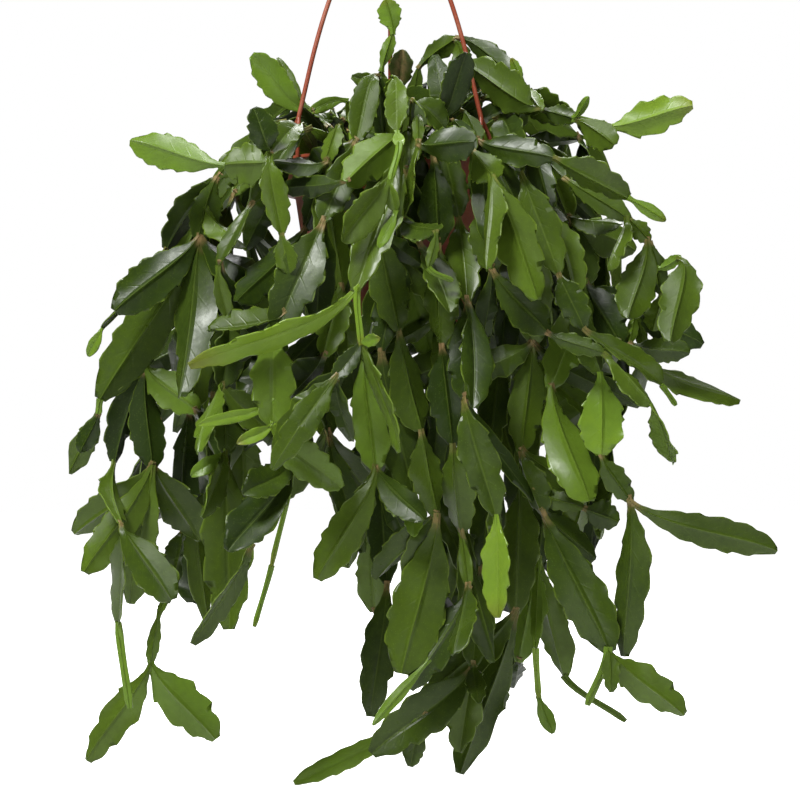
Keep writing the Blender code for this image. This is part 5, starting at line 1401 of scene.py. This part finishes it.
# A turned body: a disc at the first ring, drawn on through the others and closed in the middle.
# Each ring is (radius, height)
def turnBody(rings, steps):
    deselectAll()
    radius, height = rings[0]
    bpy.ops.mesh.primitive_circle_add(vertices=steps, radius=radius, fill_type="TRIFAN",
                                      location=(0.0, 0.0, height))
    body = bpy.context.object
    bpy.ops.object.transform_apply(location=True)
    bpy.ops.object.mode_set(mode="EDIT")
    bpy.ops.mesh.select_all(action="SELECT")
    bpy.ops.mesh.region_to_loop()
    for (oldRadius, oldHeight), (radius, height) in zip(rings, rings[1:]):
        rise = (0.0, 0.0, height - oldHeight)
        share = radius / oldRadius
        bpy.ops.mesh.extrude_region_move(TRANSFORM_OT_translate={"value": rise})
        bpy.ops.transform.resize(value=(share, share, 1.0), center_override=(0.0, 0.0, height))
    bpy.ops.mesh.extrude_region_move(TRANSFORM_OT_translate={"value": (0.0, 0.0, 0.0)})
    bpy.ops.mesh.merge(type="CENTER")
    closeMesh()
    return body


def joinPieces(pieces):
    deselectAll()
    for piece in pieces:
        piece.select_set(True)
    bpy.context.view_layer.objects.active = pieces[0]
    bpy.ops.object.join()
    return bpy.context.object


def finishPiece(piece, name, material, slot, *nodeNames):
    piece.name = name
    piece.data.name = name
    piece.data.materials.clear()
    piece.data.materials.append(material)
    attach(piece, "root")
    if nodeNames:
        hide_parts(*nodeNames)


potFinish = {"steps": 96, "lipRound": 0.0008, "holeSteps": 24, "smooth": 32.0}


# The pot: its underside, drawn ring by ring up the wall, over the lip and down inside
def makePot(material):
    rim = -potSizes["rimDrop"]
    base = rim - potSizes["height"]
    wall, lip = potSizes["wall"], potFinish["lipRound"]
    collar = potSizes["rimRadius"] - potSizes["lipReach"]
    under = base + potSizes["footHeight"]
    floor = under + wall
    foot = potSizes["baseRadius"] - potSizes["footWidth"]
    outer, step = potSizes["rimRadius"], potSizes["collarStep"]
    shoulder, lipLow = rim - potSizes["collarHeight"], rim - potSizes["lipHeight"]
    neckRadius, baseRadius = potRadius(potSizes["collarHeight"]), potRadius(potSizes["height"])
    innerTop = collar - wall
    pot = turnBody([
        (foot, under), (foot, base + lip), (foot + lip, base),
        (potSizes["baseRadius"] - lip, base), (potSizes["baseRadius"], base + lip),
        (potRadius(potSizes["collarHeight"] + 0.002), shoulder - 0.0022),
        (neckRadius + 0.0006, shoulder - 0.0011), (collar - 0.0006, shoulder),
        (collar - 0.0003, shoulder + lip), (collar, lipLow - lip), (collar + 0.0004, lipLow),
        (outer - lip, lipLow), (outer, lipLow + lip), (outer, rim - lip),
        (outer - lip * 0.3, rim - lip * 0.3), (outer - lip, rim), (innerTop + lip, rim),
        (innerTop, rim - lip), (innerTop, shoulder + step), (neckRadius - wall, shoulder),
        (baseRadius - wall + 0.002, floor + 0.006), (baseRadius - wall - 0.003, floor),
        (0.008, floor),
    ], potFinish["steps"])
    drills = []
    for number in range(potSizes["drainHoles"]):
        angle = 2.0 * math.pi * number / potSizes["drainHoles"]
        bpy.ops.mesh.primitive_cylinder_add(
            vertices=potFinish["holeSteps"], radius=potSizes["drainRadius"], depth=0.02,
            location=(potSizes["drainCircle"] * math.cos(angle),
                      potSizes["drainCircle"] * math.sin(angle), floor))
        drills.append(bpy.context.object)
    for drill in drills:
        cut = pot.modifiers.new("Drain", "BOOLEAN")
        cut.operation = "DIFFERENCE"
        cut.object = drill
        bpy.context.view_layer.objects.active = pot
        bpy.ops.object.modifier_apply(modifier=cut.name)
        bpy.data.objects.remove(drill)
    deselectAll()
    pot.select_set(True)
    bpy.context.view_layer.objects.active = pot
    bpy.ops.object.shade_smooth_by_angle(angle=math.radians(potFinish["smooth"]))
    finishPiece(pot, "moulded_pot", material, "pot_plastic", "pot")


# Lumps are (name, size, height)
soilFinish = {"steps": 72, "ringStep": 0.0022, "floorGap": 0.003, "crumbs": 170, "seed": 5,
              "lumps": (("lumps", 0.012, 0.0022), ("grit", 0.012 / 3.0, 0.0022 * 0.6)),
              "level": 0.65, "edgeWidth": 0.008, "crumbCircle": 0.066, "footGap": 0.0045,
              "crumbSink": 0.0006, "crumbSize": (0.0006, 0.0017), "crumbLength": (1.0, 1.9),
              "crumbHeight": 0.6, "crumbTip": 0.5}


# The soil: a body that fills the pot, its top drawn inwards ring by ring and stirred into lumps
def makeSoil(material):
    gap, wall = potSizes["gap"], potSizes["wall"]
    low = -potSizes["rimDrop"] - potSizes["height"] + potSizes["footHeight"] + wall
    low += gap
    inner = potRadius(potSizes["height"]) - wall - gap - soilFinish["floorGap"]
    shoulder = -potSizes["rimDrop"] - potSizes["collarHeight"]
    waist = potRadius(potSizes["collarHeight"]) - wall - gap - 0.0005
    rings = [(inner, low), (waist, shoulder),
             (soilEdge - 0.0004, shoulder + potSizes["collarStep"] + 0.001),
             (soilEdge - 0.0002, soilHeight(soilEdge) - 0.002)]
    radius = soilEdge
    while radius > soilFinish["ringStep"]:
        rings.append((radius, soilHeight(radius)))
        radius -= soilFinish["ringStep"]
    soil = turnBody(rings, soilFinish["steps"])
    top = soil.vertex_groups.new(name="top")
    for vertex in soil.data.vertices:
        reach = Vector((vertex.co.x, vertex.co.y)).length
        if vertex.co.z > soilHeight(soilEdge) - 0.001:
            share = (soilEdge - reach) / soilFinish["edgeWidth"] + 0.15
            top.add([vertex.index], min(1.0, share), "REPLACE")
    for name, size, strength in soilFinish["lumps"]:
        texture = bpy.data.textures.new(name, "CLOUDS")
        texture.noise_scale = size
        texture.noise_depth = 3
        stir = soil.modifiers.new(name, "DISPLACE")
        stir.texture = texture
        stir.texture_coords = "LOCAL"
        stir.direction = "Z"
        stir.strength = strength
        stir.mid_level = soilFinish["level"]
        stir.vertex_group = "top"
        bpy.ops.object.modifier_apply(modifier=name)
    soil.vertex_groups.clear()
    bpy.ops.object.shade_smooth()
    finishPiece(soil, "potting_mix", material, "soil_mix", "soil")


# Crumbs of bark and grit that lie on the soil between the stems' feet, joined in one piece
def makeCrumbs(material, stems):
    draw = random.Random(soilFinish["seed"])
    feet = [runs[0]["segments"][0]["end"] for name, runs in stems]
    deselectAll()
    bpy.ops.mesh.primitive_ico_sphere_add(subdivisions=1, radius=1.0)
    pattern = bpy.context.object
    crumbs = []
    while len(crumbs) < soilFinish["crumbs"]:
        angle = draw.uniform(0.0, 2.0 * math.pi)
        radius = soilFinish["crumbCircle"] * math.sqrt(draw.random())
        place = Vector((radius * math.cos(angle), radius * math.sin(angle), 0.0))
        if any((Vector((foot.x, foot.y, 0.0)) - place).length < soilFinish["footGap"]
               for foot in feet):
            continue
        place.z = soilHeight(radius) - soilFinish["crumbSink"]
        size = draw.uniform(*soilFinish["crumbSize"])
        crumb = pattern.copy()
        crumb.data = pattern.data.copy()
        bpy.context.scene.collection.objects.link(crumb)
        turn = Matrix.Rotation(draw.uniform(0.0, 6.28), 4, "Z")
        tip = soilFinish["crumbTip"]
        tip = Matrix.Rotation(draw.uniform(-tip, tip), 4, "X")
        length = size * draw.uniform(*soilFinish["crumbLength"])
        shape = Matrix.Diagonal((length, size, size * soilFinish["crumbHeight"], 1.0))
        crumb.data.transform(Matrix.Translation(place) @ turn @ tip @ shape)
        crumbs.append(crumb)
    bpy.data.objects.remove(pattern)
    finishPiece(joinPieces(crumbs), "soil_crumbs", material, "soil_mix")


# A round rod along points, as a mesh: a path with a round bevel, smoothed between its points
def makeRod(points, radius):
    deselectAll()
    bpy.ops.curve.primitive_bezier_curve_add(location=(0.0, 0.0, 0.0))
    curve = bpy.context.object.data
    curve.splines.clear()
    spline = curve.splines.new("BEZIER")
    spline.bezier_points.add(len(points) - 1)
    for point, place in zip(spline.bezier_points, points):
        point.co = place
        point.handle_left_type = point.handle_right_type = "AUTO"
    curve.resolution_u = 8
    curve.bevel_depth = radius
    curve.bevel_resolution = 3
    curve.use_fill_caps = True
    bpy.ops.object.convert(target="MESH")
    bpy.ops.object.mode_set(mode="EDIT")
    closeMesh()
    return bpy.context.object


# A block between two corners with rounded edges
def makeBlock(low, high, rounding):
    deselectAll()
    middle = (Vector(low) + Vector(high)) / 2.0
    bpy.ops.mesh.primitive_cube_add(size=1.0, location=middle)
    block = bpy.context.object
    block.scale = Vector(high) - Vector(low)
    bpy.ops.object.transform_apply(location=True, scale=True)
    bpy.ops.object.mode_set(mode="EDIT")
    bpy.ops.mesh.select_all(action="SELECT")
    bpy.ops.mesh.bevel(offset=rounding, segments=2, affect="EDGES")
    bpy.ops.object.mode_set(mode="OBJECT")
    return block


hangerFinish = {"reach": 0.005, "bow": 0.006, "splitIn": 0.004, "prongStart": (-0.0006, 0.0, 0.002),
                "prongRise": 0.012, "barbRound": 0.0003, "smooth": 40.0, "hubSteps": 48,
                "hubInset": 0.0012, "hubRound": 0.0008, "shankSunk": 0.002, "shankGap": 0.004,
                "loop": (-90, 171, 20)}


# One arm of the hanger at the +X side, turned to its angle: rod, forked clip and the two barbs
def makeArm(side, angle, material):
    rim = -potSizes["rimDrop"]
    gap = potSizes["gap"]
    wire = hangerSizes["armRadius"]
    leg = potSizes["rimRadius"] + gap + wire
    start = Vector((hangerSizes["hubRadius"] + gap, 0.0,
                    rim + hangerSizes["hubTop"] - hangerSizes["hubHeight"] / 2.0))
    split = Vector((leg - hangerFinish["splitIn"], 0.0, rim + hangerSizes["forkHeight"]))
    bow = Vector((hangerFinish["bow"], 0.0, 0.0))
    path = [start, start + Vector((hangerFinish["reach"], 0.0, 0.0)),
            start.lerp(split, 0.3) + bow * 0.8, start.lerp(split, 0.62) + bow, split]
    pieces = [makeRod(path, wire)]
    barbTop = rim - potSizes["lipHeight"] - gap
    barbLow = barbTop - hangerSizes["barbHeight"]
    half = hangerSizes["barbWidth"] / 2.0
    for way in (-1.0, 1.0):
        foot = Vector((leg, way * hangerSizes["forkSpread"], barbLow))
        prong = [split + Vector(hangerFinish["prongStart"]),
                 foot + Vector((0.0, 0.0, hangerFinish["prongRise"])), foot]
        pieces.append(makeRod(prong, hangerSizes["prongRadius"]))
        pieces.append(makeBlock(
            (potSizes["rimRadius"] - potSizes["lipReach"] + gap, foot.y - half, barbLow),
            (leg, foot.y + half, barbTop), hangerFinish["barbRound"]))
    arm = joinPieces(pieces)
    arm.data.transform(Matrix.Rotation(math.radians(angle), 4, "Z"))
    bpy.ops.object.shade_smooth_by_angle(angle=math.radians(hangerFinish["smooth"]))
    finishPiece(arm, "hanger_rod_" + side, material, "hanger_plastic", "hanger_arm_" + side)


# The hook with its hub: a disc with rounded edges, a shank and an open loop
def makeHook(material):
    rim = -potSizes["rimDrop"]
    top = rim + hangerSizes["hubTop"]
    deselectAll()
    bpy.ops.mesh.primitive_cylinder_add(
        vertices=hangerFinish["hubSteps"], radius=hangerSizes["hubRadius"],
        depth=hangerSizes["hubHeight"],
        location=(0.0, 0.0, top - hangerSizes["hubHeight"] / 2.0))
    hub = bpy.context.object
    bpy.ops.object.transform_apply(location=True)
    bpy.ops.object.mode_set(mode="EDIT")
    bpy.ops.mesh.select_mode(type="FACE")
    bpy.ops.mesh.select_all(action="DESELECT")
    bm = bmesh.from_edit_mesh(hub.data)
    for face in bm.faces:
        face.select = abs(face.normal.z) > 0.9
    bmesh.update_edit_mesh(hub.data)
    bpy.ops.mesh.inset(thickness=hangerFinish["hubInset"])
    bpy.ops.mesh.select_mode(type="EDGE")
    bpy.ops.mesh.select_all(action="SELECT")
    bpy.ops.mesh.edges_select_sharp(sharpness=math.radians(60.0))
    bpy.ops.mesh.bevel(offset=hangerFinish["hubRound"], segments=3, affect="EDGES")
    bpy.ops.object.mode_set(mode="OBJECT")
    bend, wire = hangerSizes["hookBend"], hangerSizes["hookWire"]
    middle = bend + wire
    loop = [Vector((0.0, 0.0, top - hangerFinish["shankSunk"])),
            Vector((0.0, 0.0, -bend - middle - hangerFinish["shankGap"]))]
    for degrees in range(*hangerFinish["loop"]):
        angle = math.radians(degrees)
        loop.append(Vector((middle * math.cos(angle), 0.0, -bend + middle * math.sin(angle))))
    hook = joinPieces([hub, makeRod(loop, wire)])
    bpy.ops.object.shade_smooth_by_angle(angle=math.radians(hangerFinish["smooth"]))
    finishPiece(hook, "hanger_top", material, "hanger_plastic", "hanger_hook")


# Lights: (name, place, size across in metres, power in watts)
stageLooks = {"floorZ": -0.715, "floorRadius": 6.0, "clearRadius": (0.55, 1.25), "world": 1.0,
              "fillWorld": 0.05, "floor": (0.90, 0.90, 0.90), "aim": (0.0, 0.0, -0.38),
              "lights": (("key", (-0.85, -1.3, 1.55), 0.8, 142.0),
                         ("fill", (1.6, -1.6, 0.5), 1.2, 14.0),
                         ("top", (0.1, -0.1, 1.7), 1.2, 32.0),
                         ("back", (0.4, 1.7, 1.4), 1.2, 46.0))}


# A pale floor that fades to white for the camera, a dim white world and soft lights
def makeStage():
    deselectAll()
    bpy.ops.mesh.primitive_circle_add(vertices=96, radius=stageLooks["floorRadius"],
                                      fill_type="NGON",
                                      location=(0.0, 0.0, stageLooks["floorZ"]))
    floor = bpy.context.object
    floor.name = "floor"
    bpy.ops.object.transform_apply(location=True)
    material, tree, shader = newMaterial("floorPaint")
    place = addNode(tree, "ShaderNodeTexCoord").outputs["Object"]
    length = addNode(tree, "ShaderNodeVectorMath", {0: place}, operation="LENGTH").outputs["Value"]
    straight = addNode(tree, "ShaderNodeLightPath").outputs["Is Camera Ray"]
    glow = times(tree, spread(tree, length, *stageLooks["clearRadius"]), straight)
    for slot, value in (("Base Color", stageLooks["floor"]), ("Roughness", 0.85),
                        ("Specular IOR Level", 0.2), ("Emission Color", (1.0, 1.0, 1.0)),
                        ("Emission Strength", glow)):
        setInput(tree, shader, slot, value)
    floor.data.materials.append(material)

    world = bpy.data.worlds.new("studio")
    bpy.context.scene.world = world
    world.use_nodes = True
    tree = world.node_tree
    straight = addNode(tree, "ShaderNodeLightPath").outputs["Is Camera Ray"]
    strength = spread(tree, straight, 0.0, 1.0, stageLooks["fillWorld"], stageLooks["world"])
    setInput(tree, tree.nodes["Background"], "Color", (1.0, 1.0, 1.0))
    setInput(tree, tree.nodes["Background"], "Strength", strength)
    for name, place, size, power in stageLooks["lights"]:
        bpy.ops.object.light_add(type="AREA", location=place)
        light = bpy.context.object
        light.name = "light_" + name
        light.data.shape = "DISK"
        light.data.size = size
        light.data.energy = power
        way = Vector(stageLooks["aim"]) - Vector(place)
        light.rotation_euler = way.to_track_quat("-Z", "Y").to_euler()


def makeCamera():
    bpy.ops.object.camera_add(location=eyePlace, rotation=(math.radians(90.0), 0.0, 0.0))
    camera = bpy.context.object
    camera.data.sensor_width = 36.0
    camera.data.lens = 36.0 * photoView["distance"] / photoView["span"]
    bpy.context.scene.camera = camera
    bpy.context.scene.view_settings.view_transform = "Standard"


makeCamera()
leafSkin = leafMaterial()
potPlastic = plasticMaterial("potPlastic", 0.35)
hangerPlastic = plasticMaterial("hangerPlastic", 0.15)
soilMix = soilMaterial()
print("materials ready")

hangerNodes = [nodes["hanger_arm_" + side] for side in hangerSizes["angles"]]
space = Space([nodes["pot"], nodes["soil"], nodes["hanger_hook"], *hangerNodes])
stems = growAll(space)
print("grown", len(stems), "stems")
closeGaps(stems, space, coverRule, lambda branch: insideOutline(branch["end"]))
grown = space.wholeTree()
closeGaps(stems, space, gapRule, lambda branch: fitsFront(branch)
          and shareAhead(branch, grown) < gapRule["ahead"])
thicken(stems, space, grown)
patterns = {name: modelBlade(name, settings) for name, settings in patternBlades.items()}
for name, runs in stems:
    makeStem(name, runs, patterns, leafSkin)
for pattern in patterns.values():
    bpy.data.objects.remove(pattern)
print("stems made")

makePot(potPlastic)
makeSoil(soilMix)
makeCrumbs(soilMix, stems)
for side, angle in hangerSizes["angles"].items():
    makeArm(side, angle, hangerPlastic)
makeHook(hangerPlastic)
print("pot, soil and hanger made")

makeStage()
